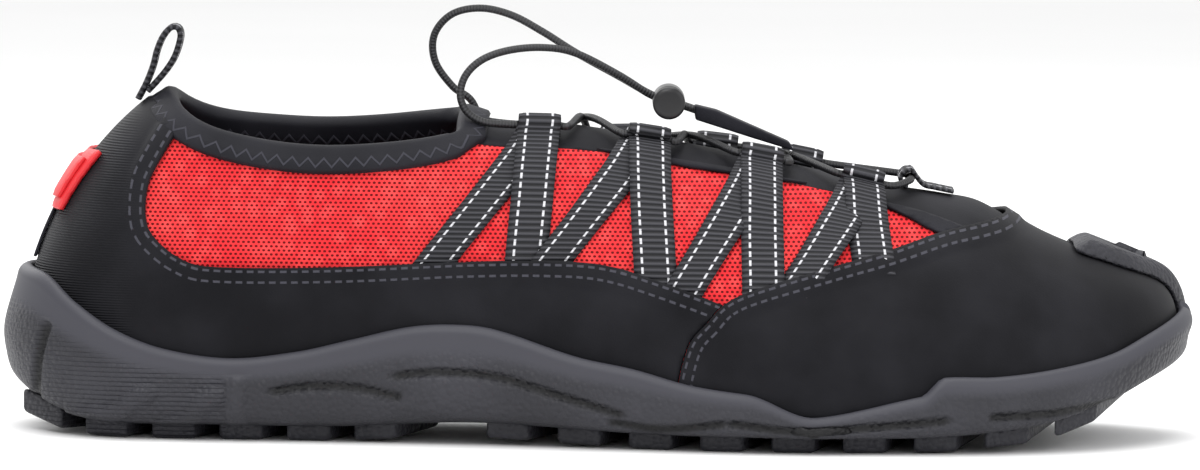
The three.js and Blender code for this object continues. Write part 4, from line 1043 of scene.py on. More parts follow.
    def sole_rubber(self) -> bpy.types.Material:
        """Stippled rubber with ribs at the heel and a smoother lip, with painted shade in the side grooves
        and a painted highlight along the lip.
        """
        material, shader, surface, coordinates = self.start("sole_rubber")
        split = shader.add("SeparateXYZ", {0: coordinates})
        stipple = shader.add("TexVoronoi", {"Vector": coordinates, "Scale": 760.0}).outputs[0]
        grain = self.grain(shader, coordinates, 0.9)
        lip = shader.attribute("lip")
        rough = shader.math("SUBTRACT", 1.0, lip)
        heel = shader.ramp(split.outputs[0], -0.087, -0.089)
        line = shader.math("FRACT", shader.math("DIVIDE", split.outputs[2], 1.1 * MM))
        ribs = shader.math("MULTIPLY", shader.ramp(line, 0.55, 0.85), heel)
        height = shader.math("MULTIPLY", shader.math("SUBTRACT", 1.0, stipple), rough)
        height = shader.math("ADD", height, shader.math("MULTIPLY", ribs, rough))
        cloud = shader.ramp(grain.outputs["Cloud"], 0.3, 0.8)
        base = shader.mix(cloud, (0.02, 0.02, 0.025), (0.034, 0.034, 0.042))
        # Painted shade: the grooves on the side are darkened nearly to black.
        base = shader.mix(shader.attribute("groove_shade"), base, (0.005, 0.005, 0.006))
        # Painted highlight: the lip is painted lighter than the rest of the rubber.
        base = shader.mix(lip, base, (0.042, 0.042, 0.052))
        self.coat(shader, surface, base, roughness=0.5, gloss=0.3)
        self.bump(shader, surface, height, 0.55)
        return material

    def ribbed_webbing(self) -> bpy.types.Material:
        """Webbing with cross ribs and two dashed white stitch lines; its map is in mm."""
        material, shader, surface, _ = self.start("webbing")
        flat = self.flat_map(shader)
        along, across = flat.outputs[0], shader.math("ABSOLUTE", flat.outputs[1])
        wave = shader.math("SINE", shader.math("MULTIPLY", along, 2 * math.pi / 1.45))
        thread = self.stitches(shader, across, along, 3.0, 2.4, 0.6)
        light = shader.ramp(wave, -0.6, 0.9)
        base = shader.mix(light, (0.008, 0.008, 0.01), (0.045, 0.045, 0.052))
        base = shader.mix(thread, base, (0.6, 0.6, 0.63))
        self.coat(shader, surface, base, roughness=0.6, gloss=0.2)
        self.bump(shader, surface, shader.math("ADD", wave, shader.math("MULTIPLY", thread, 0.8)), 0.22)
        return material

    def braided_cord(self) -> bpy.types.Material:
        """Black braided cord; its map is in mm along it and turns round it."""
        material, shader, surface, _ = self.start("cord")
        flat = self.flat_map(shader)
        along = shader.math("MULTIPLY", flat.outputs[0], 4.0)
        turned = shader.math("MULTIPLY", flat.outputs[1], 12.6)
        strands = [shader.math("SINE", shader.math(way, along, turned)) for way in ("ADD", "SUBTRACT")]
        weave = shader.math("MULTIPLY", *strands)
        base = shader.mix(shader.ramp(weave, -0.5, 0.8), (0.006, 0.006, 0.007), (0.022, 0.022, 0.026))
        self.coat(shader, surface, base, roughness=0.55)
        self.bump(shader, surface, weave, 0.12)
        return material


class Maker:
    """Turns meshes into dressed pieces of the shoe."""

    def __init__(self, materials: Materials) -> None:
        """Keep the materials."""
        self.materials = materials

    def piece(self, name: str, bm: bmesh.types.BMesh, material: bpy.types.Material, slot: str,
              nodes: tuple[str, ...] = (), body: str = "shoe", values: dict[str, np.ndarray] | None = None,
              wall: float = 0.0, inner: bpy.types.Material | None = None,
              facing: Facing | None = None) -> bpy.types.Object:
        """Finish a mesh as a piece.

        Args:
            name: the piece's name.
            bm: its mesh in metres.
            material: its finish.
            slot: not used.
            nodes: the solids it stands for.
            body: the body it rides.
            values: numbers for vertex attributes, one per vertex.
            wall: thickness in mm, grown inwards from an open skin.
            inner: finish of the inside.
            facing: a function that is positive where the mesh looks outwards.

        Returns:
            The piece.
        """
        bm.verts.index_update()
        for key, numbers in (values or {}).items():
            layer = bm.verts.layers.float.new(key)
            for vert in bm.verts:
                vert[layer] = float(numbers[vert.index])
        bmesh.ops.remove_doubles(bm, verts=bm.verts[:], dist=0.02 * MM)
        bmesh.ops.recalc_face_normals(bm, faces=bm.faces[:])
        if facing is not None and facing(bm) < 0:
            bmesh.ops.reverse_faces(bm, faces=bm.faces[:])
        for face in bm.faces:
            face.smooth = True
        mesh = bpy.data.meshes.new(f"{name}_dressed")
        bm.to_mesh(mesh)
        bm.free()
        mesh.materials.append(material)
        if inner is not None:
            mesh.materials.append(inner)
        piece = bpy.data.objects.new(f"{name}_dressed", mesh)
        bpy.context.scene.collection.objects.link(piece)
        if wall > 0:
            thick = piece.modifiers.new("wall", "SOLIDIFY")
            thick.thickness = wall * MM
            thick.offset = -1.0
            thick.use_even_offset = False
            if inner is not None:
                thick.material_offset = 1
        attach(piece, body)
        if nodes:
            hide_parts(*nodes)
        LOG.info("%s: %d faces", name, len(mesh.polygons))
        return piece

    def sweep(self, name: str, rows: np.ndarray, material: bpy.types.Material, slot: str, closed: bool,
              flat: np.ndarray, **options: object) -> bpy.types.Object:
        """Piece whose surface follows rows of points, one ring or one cross line per row.

        Args:
            name: the piece's name.
            rows: points in mm, rows by places along, columns round or across.
            material: its finish.
            slot: the record's material slot.
            closed: whether each row is a ring, whose ends are then capped.
            flat: map coordinates in mm, the same shape but for two numbers.
            options: passed on to piece.

        Returns:
            The piece.
        """
        count, width = rows.shape[:2]
        bm = bmesh.new()
        bmesh.ops.create_grid(bm, x_segments=count - 1, y_segments=width - 1, size=1.0)
        layer = bm.loops.layers.uv.new("flat")
        place = {}
        for vert in bm.verts:
            row = round((vert.co.x + 1) / 2 * (count - 1))
            column = round((vert.co.y + 1) / 2 * (width - 1))
            place[vert] = (row, column)
        for face in bm.faces:
            for loop in face.loops:
                loop[layer].uv = flat[place[loop.vert]]
        for vert, (row, column) in place.items():
            vert.co = Vector(rows[row, column] * MM)
        if closed:
            bmesh.ops.remove_doubles(bm, verts=bm.verts[:], dist=0.01 * MM)
            open_edges = [edge for edge in bm.edges if edge.is_boundary]
            bmesh.ops.holes_fill(bm, edges=open_edges, sides=0)
        return self.piece(name, bm, material, slot, **options)

    def tube(self, name: str, path: np.ndarray, count: int, **options: object) -> bpy.types.Object:
        """Round cord along a smooth path.

        Args:
            name: the piece's name.
            path: points on the path, in mm.
            count: number of rings.
            options: passed on to piece.

        Returns:
            The piece.
        """
        line = curve_through(path, count)
        rows, flat = [], []
        run = 0.0
        side = np.array([0.0, 1.0, 0.0])
        for index, point in enumerate(line):
            ahead = line[min(index + 1, count - 1)] - line[max(index - 1, 0)]
            ahead = ahead / np.linalg.norm(ahead)
            side = side - ahead * (side @ ahead)
            side = side / np.linalg.norm(side)
            other = np.cross(ahead, side)
            if index:
                run += float(np.linalg.norm(point - line[index - 1]))
            turns = np.linspace(0, 2 * np.pi, 13)
            rows.append([point + CORD_RADIUS * (side * math.cos(t) + other * math.sin(t)) for t in turns])
            flat.append([(run, t / (2 * np.pi)) for t in turns])
        return self.sweep(name, np.array(rows), self.materials.cord, "cord", True, np.array(flat), **options)

    def ribbon(self, name: str, centre: np.ndarray, across: np.ndarray, half: float, thick: float,
               material: bpy.types.Material, slot: str, **options: object) -> bpy.types.Object:
        """Flat band with a rounded section.

        Args:
            name: the piece's name.
            centre: points along its middle, in mm.
            across: direction across it at each point.
            half: half its width in mm.
            thick: its thickness in mm.
            material: its finish.
            slot: the record's material slot.
            options: passed on to piece.

        Returns:
            The piece.
        """
        rows, flat = [], []
        run = 0.0
        edge = np.linspace(-half, half, 9)
        for index, point in enumerate(centre):
            ahead = centre[min(index + 1, len(centre) - 1)] - centre[max(index - 1, 0)]
            wide = across[index] / np.linalg.norm(across[index])
            ahead = ahead / max(np.linalg.norm(ahead), TINY)
            normal = np.cross(ahead, wide)
            normal = normal / max(np.linalg.norm(normal), TINY)
            if index:
                run += float(np.linalg.norm(point - centre[index - 1]))
            shape = [(y, thick / 2 * (1 - 0.55 * (abs(y) / half) ** 6)) for y in edge]
            ring = [*shape, *[(y, -h) for y, h in reversed(shape)], shape[0]]
            rows.append([point + wide * y + normal * h for y, h in ring])
            flat.append([(run, y) for y, _ in ring])
        return self.sweep(name, np.array(rows), material, slot, True, np.array(flat), **options)


def points_up(bm: bmesh.types.BMesh) -> float:
    """Sum over faces of how far they look away from the shoe's middle line.

    Args:
        bm: the mesh.

    Returns:
        A positive number where most of it looks outwards.
    """
    total = 0.0
    for face in bm.faces:
        centre = face.calc_center_median()
        middle = Vector((centre.x * 0.8, centre.y * 0.1, 0.02))
        total += face.normal.dot(centre - middle) * face.calc_area()
    return total


def upward_sum(bm: bmesh.types.BMesh) -> float:
    """Sum over faces of how far they look upwards."""
    return sum(face.normal.z for face in bm.faces)


@dataclass
class Upper:
    """The sewn upper: mesh quarter, vamp, neoprene panels, eyestays, binding and foot bed."""

    maker: Maker
    wall: float = 2.0
    cover: float = 1.3
    band: float = 0.55

    def skin(self, name: str, fields: list[Field], rise: Field | float, material: bpy.types.Material,
             slot: str, wall: float, ranges: tuple[float, float, float, float] = (0.0, 1.0, -1.0, 1.0),
             cells: tuple[int, int] = (170, 110), lines: dict[str, np.ndarray] | None = None,
             inner: bpy.types.Material | None = None) -> bpy.types.Object:
        """Cut and lay one panel of the upper.

        Args:
            name: the piece's name, which is also its node's.
            fields: the fields whose positive sides are kept.
            rise: height off the last in mm.
            material: its finish.
            slot: the record's material slot.
            wall: its thickness in mm.
            ranges: first and last station, first and last turn.
            cells: number of cells along and across.
            lines: side-view lines that its finish measures from.
            inner: finish of the inside.

        Returns:
            The piece.
        """
        skin = Skin(ranges[:2], ranges[2:], cells)
        for field_value in fields:
            skin.cut(field_value)
        values = skin.lay(rise, lines)
        return self.maker.piece(name, skin.bm, material, slot, nodes=(name,), values=values, wall=wall,
                                inner=inner, facing=points_up)

    def band_rise(self, line: np.ndarray, width: float) -> Field:
        """Height of a panel with a raised folded band along a line.

        Args:
            line: the side-view line in mm.
            width: the band's width in mm.

        Returns:
            The height as a field.
        """

        def rise(u: np.ndarray, v: np.ndarray, points: np.ndarray) -> np.ndarray:
            """Height off the last in mm."""
            distance, _ = line_distance(points[:, [0, 2]], line)
            return self.cover + self.band * (1 - smoothstep(distance, width * 0.75, width * 1.15))

        return rise

    def build(self) -> None:
        """Build every panel."""
        looks = self.maker.materials
        self.skin("upper", [collar_field(0.3), throat_field(0.0, -1.0)], 0.0, looks.mesh, "mesh_cloth",
                  self.wall, inner=looks.lining)
        self.skin("tongue", [throat_field(0.3)], -0.1, looks.neoprene, "neoprene", 1.5, (0.3, 1.0, -0.8, 0.8),
                  inner=looks.lining)
        foxing = [below_window, behind_toe, collar_field(BINDING - 1.2)]
        smooth_window = curve_through(WINDOW_LINE, 90)
        self.skin("heel_foxing", foxing, self.band_rise(smooth_window, 4.6), looks.foxing, "neoprene", 1.0,
                  (0.0, 0.8, -1.0, 1.0), (150, 130), {"band": smooth_window})
        smooth_toe = curve_through(TOE_LINE, 90)
        self.skin("toe_overlay", [ahead_of_toe], self.band_rise(smooth_toe, 4.2), looks.toe, "neoprene", 1.0,
                  (0.45, 1.0, -1.0, 1.0), (130, 140), {"toe": smooth_toe})
        for side in Side:
            stay = [on_side(side), above_stay, throat_field(0.0, -1.0), behind_toe]
            low, high = sorted((0.02 * side.value, side.value * 0.9))
            self.skin(f"eyestay_{side.column}", stay, 1.0, looks.binding, "binding", EYESTAY,
                      (0.4, 0.9, low, high), (110, 50))
        self.build_binding()
        self.build_foot_bed()

    def build_binding(self) -> None:
        """Rolled tape round the collar, one closed ring."""
        ring = []
        for side, sign in ((Side.LATERAL, 1), (Side.MEDIAL, -1)):
            at = np.linspace(0.137, COLLAR_FRONT, 44)[::sign]
            height = lookup(COLLAR_FULL, side.column, at) * HEEL_HEIGHT
            spots = LAST.find(along_x(at), height, side, (0, 2))
            ring.append(spots)
        back_v = 1 - np.linspace(0, 1, 200)
        back_z = LAST.surface(np.zeros(200), back_v)[:, 2]
        heel = float(np.interp(0.985 * HEEL_HEIGHT, back_z, back_v))
        lateral, medial = ring
        cross = np.linspace(lateral[-1], medial[0], 22)[1:-1]
        spots = np.vstack([[[0.0, -heel]], lateral, cross, medial, [[0.0, heel]]])
        point, _, _, normal = LAST.frame(spots[:, 0], spots[:, 1])
        shifted = np.roll(point, -1, axis=0) - np.roll(point, 1, axis=0)
        shifted[0] = shifted[-1] = np.array([0.0, -1.0, 0.0])
        kernel = np.array([1, 2, 3, 2, 1]) / 9
        for axis in range(3):
            closed = np.concatenate([point[-3:-1, axis], point[:, axis], point[1:3, axis]])
            point[:, axis] = np.convolve(closed, kernel, "valid")
        run = shifted / np.linalg.norm(shifted, axis=1, keepdims=True)
        down = np.cross(run, normal)
        down = down / np.linalg.norm(down, axis=1, keepdims=True)
        down = np.where((down[:, 2] > 0)[:, None], -down, down)
        front = point[:, 0] > float(along_x(COLLAR_FRONT)) - 3
        down = np.where(front[:, None], np.array([1.0, 0.0, -0.3]) / 1.044, down)
        turns = np.linspace(-0.5, math.pi + 0.5, 10)
        rows, flat = [], []
        length = np.concatenate([[0], np.cumsum(np.linalg.norm(np.diff(point, axis=0), axis=1))])
        for index in range(len(point)):
            middle = point[index] - normal[index] * 0.3
            shape = [(BINDING, 1.75), (BINDING - 0.7, 2.3), (BINDING / 2, 2.35), (1.6, 2.3)]
            shape += [(0.3 - 2.35 * math.sin(t) * 0.75, 2.35 * math.cos(t)) for t in turns[1:-1]]
            shape += [(1.6, -2.4), (BINDING / 2, -2.45), (BINDING - 0.5, -2.35), (BINDING, -1.9)]
            shape.append(shape[0])
            rows.append([middle + down[index] * d + normal[index] * n for d, n in shape])
            flat.append([(length[index], d) for d, _ in shape])
        looks = self.maker.materials
        self.maker.sweep("collar_binding", np.array(rows), looks.collar, "binding", True, np.array(flat),
                         nodes=("collar_binding",))

    def build_foot_bed(self) -> None:
        """Foot bed inside the upper: a slab."""
        share = np.linspace(0.0, 1.0, 90)
        low, high = LAST.outline(-np.ones(90), share), LAST.outline(np.ones(90), share)
        out_low, out_high = LAST.outward(-np.ones(90), share), LAST.outward(np.ones(90), share)
        inset = SOLE_FLANGE + self.wall + 0.6
        low, high = low - out_low * inset, high - out_high * inset
        across = np.linspace(0, 1, 25)
        plan = low[:, None, :] + (high - low)[:, None, :] * across[None, :, None]
        edge = lookup(SECTIONS, "edge", plan[..., 0] / SHOE_LENGTH + 0.5) * HEEL_HEIGHT + 3.4
        rows = np.concatenate([plan, edge[..., None]], axis=-1)
        self.maker.sweep("insole", rows, self.maker.materials.lining, "lining", False, plan,
                         nodes=("insole",), wall=3.0, facing=upward_sum)


@dataclass
class Lacing:
    """Webbing straps, cord, lock and tab."""

    maker: Maker
    thick: float = 1.1
    eye: float = 2.0
    front_lift: float = 1.1
    over_rise: float = 1.9
    keeper_at: float = 73.5
    keeper_ends: Pair = (-3.0, 8.5)
    keeper_plate: tuple[Pair, ...] = ((84.5, 0.9), (80.0, 1.1), (77.0, 1.5))
    keeper_middle: float = 4.2
    keeper_half: float = 5.6

    def eye_middle(self, side: Side, head: float) -> tuple[np.ndarray, np.ndarray]:
        """Centre of a strap's cord eye and the cord's direction in it.

        Args:
            side: the strap's side.
            head: length share of its head.

        Returns:
            The centre in mm and the unit direction.
        """
        ends = []
        for step in (-STRAP_HALF, STRAP_HALF):
            x = float(along_x(head)) + step
            reach = float(lookup(THROAT, side.column, x / SHOE_LENGTH + 0.5)) * BALL_WIDTH - EYE_REACH
            y = side.value * reach
            spot = LAST.find(np.array([x]), np.array([y]), Side.MEDIAL if y > 0 else Side.LATERAL, (0, 1))
            ends.append(LAST.offset(spot[:, 0], spot[:, 1], np.array([EYE_RISE]))[0])
        run = ends[1] - ends[0]
        return (ends[0] + ends[1]) / 2, run / np.linalg.norm(run)

    def leg(self, name: str, strap: Strap, foot: Pair, lift: float, node: tuple[str, ...]) -> None:
        """One leg of a strap, from its foot up over the eyestay and round the cord.

        Args:
            name: the piece's name.
            strap: the strap.
            foot: length share and height share of the leg's foot.
            lift: extra height near the head, in mm.
            node: the solids it stands for.
        """
        side = strap.side
        middle, cord = self.eye_middle(side, strap.head)
        share = np.linspace(-0.06, 1, 24)
        x = float(along_x(foot[0])) + (float(along_x(strap.head)) - float(along_x(foot[0]))) * share
        z = (foot[1] + (strap.top - foot[1]) * share) * HEEL_HEIGHT
        spots = LAST.find(x, z, side, (0, 2))
        stay = np.interp(x, STAY_LINE[:, 0], STAY_LINE[:, 1])
        rise = 0.45 + 0.6 * smoothstep(share, 0.04, 0.16) + 0.9 * smoothstep(z, stay - 2.5, stay + 1.0)
        rise += lift * smoothstep(share, 0.45, 0.8)
        line = LAST.offset(spots[:, 0], spots[:, 1], rise)
        outward = np.array([0.0, float(side.value), 0.0])
        outward = outward - cord * (outward @ cord)
        outward /= np.linalg.norm(outward)
        upward = np.cross(cord, outward)
        upward = upward if upward[2] > 0 else -upward
        radius = self.eye + lift * 0.4
        turns = np.linspace(0.35, 1.6 * math.pi, 16)
        loop = [middle + radius * (outward * math.cos(t) + upward * math.sin(t)) for t in turns]
        path = curve_through(np.vstack([line[:-1:2], loop]), 64)
        widths = []
        for index in range(len(path)):
            blend = smoothstep(index / len(path), 0.2, 0.55)
            widths.append(np.array([1.0, 0.0, 0.0]) * (1 - blend) + cord * blend)
        self.maker.ribbon(name, path, np.array(widths), STRAP_HALF, self.thick, self.maker.materials.webbing,
                          "webbing", nodes=node)

    def build(self) -> None:
        """Build straps, keeper, cord, lock and tab."""
        eyes: Eyes = {side: [] for side in Side}
        for strap in STRAPS:
            side = strap.side
            eyes[side].append(self.eye_middle(side, strap.head))
            name = f"strap_{side.column}_{len(eyes[side])}"
            self.leg(name + "_back", strap, strap.back, 0.0, (name,))
            self.leg(name + "_front", strap, strap.front, self.front_lift, (name,))
        keeper = self.build_keeper()
        self.build_bars(eyes, keeper)
        self.build_lock(eyes)

    def build_keeper(self) -> tuple[np.ndarray, np.ndarray]:
        """Webbing tab at the throat's front that holds the cord.

        Returns:
            The centre of the cord in it and the cord's direction.
        """
        ends = []
        for y in self.keeper_ends:
            side = Side.LATERAL if y < 0 else Side.MEDIAL
            spot = LAST.find(np.array([self.keeper_at]), np.array([y]), side, (0, 1))
            ends.append(LAST.offset(spot[:, 0], spot[:, 1], np.array([EYE_RISE]))[0])
        cord = (ends[1] - ends[0]) / np.linalg.norm(ends[1] - ends[0])
        middle = (ends[0] + ends[1]) / 2
        back, up = np.array([-1.0, 0.0, 0.25]), np.array([0.2, 0.0, 1.0])
        turns = np.linspace(-0.5 * math.pi, 0.55 * math.pi, 12)[::-1]
        loop = [middle + self.eye * (back * math.cos(t) + up * math.sin(t)) for t in turns]
        at, rise = np.array(self.keeper_plate).T
        spots = LAST.find(at, np.full(len(at), self.keeper_middle), Side.MEDIAL, (0, 1))
        plate = LAST.offset(spots[:, 0], spots[:, 1], rise)
        path = curve_through(np.vstack([plate, loop]), 40)
        self.maker.ribbon("lace_keeper", path, np.tile(cord, (len(path), 1)), self.keeper_half, self.thick,
                          self.maker.materials.webbing, "webbing", nodes=("lace_keeper",))
        return middle, cord

    def over(self, start: np.ndarray, end: np.ndarray) -> np.ndarray:
        """Point over the throat's middle between two places.

        Args:
            start: where the cord leaves, in mm.
            end: where the cord arrives.

        Returns:
            The point in mm.
        """
        middle = (start + end) / 2
        crest = float(lookup(CREST, "side", middle[0] / SHOE_LENGTH + 0.5)) * BALL_WIDTH
        spot = LAST.find(middle[:1], np.array([crest + 1]), Side.MEDIAL, (0, 1))
        return LAST.offset(spot[:, 0], spot[:, 1], np.array([self.over_rise]))[0]

    def build_bars(self, eyes: Eyes, keeper: tuple[np.ndarray, np.ndarray]) -> None:
        """Cord crossings between the eyes, and its run through the keeper.

        Args:
            eyes: centre and direction of each eye, by side.
            keeper: the same for the keeper.
        """
        lateral, medial = eyes[Side.LATERAL], eyes[Side.MEDIAL]
        reach = STRAP_HALF + 2
        number = 0
        for step in range(1, 4):
            for one, other in ((lateral[step], medial[step - 1]), (medial[step], lateral[step - 1])):
                leave, arrive = one[0] - one[1] * reach, other[0] + other[1] * reach
                path = np.array([
                    one[0], one[0] - one[1] * STRAP_HALF, leave, self.over(leave, arrive), arrive,
                    other[0] + other[1] * STRAP_HALF, other[0],
                ])
                number += 1
                self.maker.tube(f"lace_bar_{number}", path, 40, nodes=("lace_bars",))
        middle, cord = keeper
        ends = [row[3][0] + row[3][1] * reach for row in (lateral, medial)]
        path = np.array([lateral[3][0], ends[0], middle - cord * 7.5, middle, middle + cord * 7.5, ends[1],
                         medial[3][0]])
        self.maker.tube("lace_bar_front", path, 60, nodes=("lace_bars",))

    def build_lock(self, eyes: Eyes) -> None:
        """Free loops of cord, the sprung lock they run through, and the tab on their ends.

        Args:
            eyes: centre and direction of each eye, by side.
        """
        barrel = self.lathe("cord_lock_barrel", LOCK_NEAR, LOCK_NEAR + LOCK_LENGTH, 0.5, "shoe")
        plunger_end = LOCK_NEAR - PLUNGER_GAP
        plunger = self.lathe("cord_lock_plunger", plunger_end - 2.4, plunger_end, 0.5, "plunger", stem=True)
        tab = self.build_tab()
        for side, points, place in ((Side.LATERAL, LOOP_LATERAL, 0), (Side.MEDIAL, LOOP_MEDIAL, 1)):
            middle, cord = eyes[side][0]
            start = middle - cord * STRAP_HALF
            y = CORD_PLACES[place]
            lock = [(LOCK_CENTRE[0] + d, y, LOCK_CENTRE[1] - d * LOCK_SLANT) for d in (-4.5, 0.0, 4.5, 9.8)]
            path = np.array([start, start - cord * 2.2, *points, *lock])
            smooth = curve_through(path, 110)
            piece = self.maker.tube(f"lace_loop_{side.column}", path, 110,
                                    nodes=(f"lace_loop_{side.column}",))

    def lathe(self, name: str, low: float, high: float, bevel: float, body: str,
              stem: bool = False) -> bpy.types.Object:
        """Round plastic piece turned about a line across the shoe.

        Args:
            name: the piece's name, which is also its node's.
            low: place of its outer end across the shoe, in mm.
            high: place of its inner end.
            bevel: rounding of its edges.
            body: the body it rides.
            stem: whether a thin stem stands on the inner end.

        Returns:
            The piece.
        """
        bm = bmesh.new()
        outline = [(0.0, low), (LOCK_RADIUS - 1.6, low), (LOCK_RADIUS - bevel, low + 0.12),
                   (LOCK_RADIUS - 0.1, low + bevel), (LOCK_RADIUS, low + 1.2), (LOCK_RADIUS, high - 1.2),
                   (LOCK_RADIUS - 0.1, high - bevel), (LOCK_RADIUS - bevel, high - 0.1)]
        outline += [(2.0, high), (2.0, high + 6.0), (0.0, high + 6.0)] if stem else [(0.0, high)]
        x, z = LOCK_CENTRE
        verts = [bm.verts.new(((x + r) * MM, y * MM, z * MM)) for r, y in outline]
        edges = [bm.edges.new(pair) for pair in zip(verts[:-1], verts[1:])]
        bmesh.ops.spin(bm, geom=verts + edges, cent=(x * MM, 0, z * MM), axis=(0, 1, 0), dvec=(0, 0, 0),
                       angle=2 * math.pi, steps=48, use_merge=True)
        plastic = self.maker.materials.plastic
        return self.maker.piece(name, bm, plastic, "lock_plastic", nodes=(name,), body=body)

    def build_tab(self) -> bpy.types.Object:
        """Tapered tab on the cord's ends, with soft edges.

        Returns:
            The piece.
        """
        bm = bmesh.new()
        low, high = CORD_PLACES[0] - 2.9, CORD_PLACES[1] + 2.9
        verts = [bm.verts.new((x * MM, low * MM, z * MM)) for x, z in TAB_OUTLINE]
        face = bm.faces.new(verts)
        made = bmesh.ops.extrude_face_region(bm, geom=[face])["geom"]
        moved = [item for item in made if isinstance(item, bmesh.types.BMVert)]
        bmesh.ops.translate(bm, verts=moved, vec=(0, (high - low) * MM, 0))
        bmesh.ops.recalc_face_normals(bm, faces=bm.faces[:])
        bmesh.ops.bevel(bm, geom=bm.edges[:], offset=0.5 * MM, segments=2, affect="EDGES",
                        profile=0.5, material=-1)
        return self.maker.piece("pull_tab", bm, self.maker.materials.binding, "binding", nodes=("pull_tab",))


@dataclass
class HeelPieces:
    """Tape, badge and pull loop on the heel's back."""

    maker: Maker
    base: float = 1.6

    def patch(self, name: str, low: float, high: float, half: float, rise: float, wall: float,
              material: bpy.types.Material, slot: str, node: str, crown: float = 0.0) -> None:
        """Panel over the heel's middle line.

        Args:
            name: the piece's name.
            low: height of its lower edge in mm.
            high: height of its upper edge.
            half: half its width.
            rise: height off the last.
            wall: its thickness.
            material: its finish.
            slot: the record's material slot.
            node: the solid it stands for.
            crown: extra height of its middle.
        """

        def between(u: np.ndarray, v: np.ndarray, points: np.ndarray) -> np.ndarray:
            """Distance inside the patch's edges."""
            upright = np.minimum(points[:, 2] - low, high - points[:, 2])
            across = half - np.abs(points[:, 1])
            return np.minimum(np.minimum(upright, across), -70.0 - points[:, 0])

        def height(u: np.ndarray, v: np.ndarray, points: np.ndarray) -> np.ndarray:
            """Height off the last, with a crowned middle."""
            return rise + crown * smoothstep(between(u, v, points), 0.0, 1.4)

        skin = Skin((0.0, 0.35), (-1.0, 1.0), (110, 260))
        skin.cut(between)
        skin.lay(height)
        self.maker.piece(name, skin.bm, material, slot, nodes=(node,), wall=wall, facing=points_up)

    def build(self) -> None:
        """Build the heel's pieces."""
        looks = self.maker.materials
        low, high = 0.625 * HEEL_HEIGHT, 0.79 * HEEL_HEIGHT
        half = 0.115 * BALL_WIDTH
        self.patch("back_strap", 0.487 * HEEL_HEIGHT, low - 0.3, 4.5, self.base + 0.7, 0.7, looks.binding,
                   "webbing", "back_strap")
        self.patch("heel_badge", low, high, half, self.base + 1.1, 1.1, looks.badge, "badge_rubber",
                   "heel_badge", 0.3)
        self.patch("heel_badge_face", low + 2.2, high - 2.2, half - 2.2, self.base + 2.2, 1.0, looks.badge,
                   "badge_rubber", "heel_badge", 0.25)
        line = curve_through(np.array([(x, 0.0, z) for x, z in PULL_LOOP]), 70)
        self.maker.ribbon("pull_loop", line, np.tile([0.0, 1.0, 0.0], (70, 1)), 4.5, 1.5,
                          looks.webbing, "webbing", nodes=("pull_loop",))


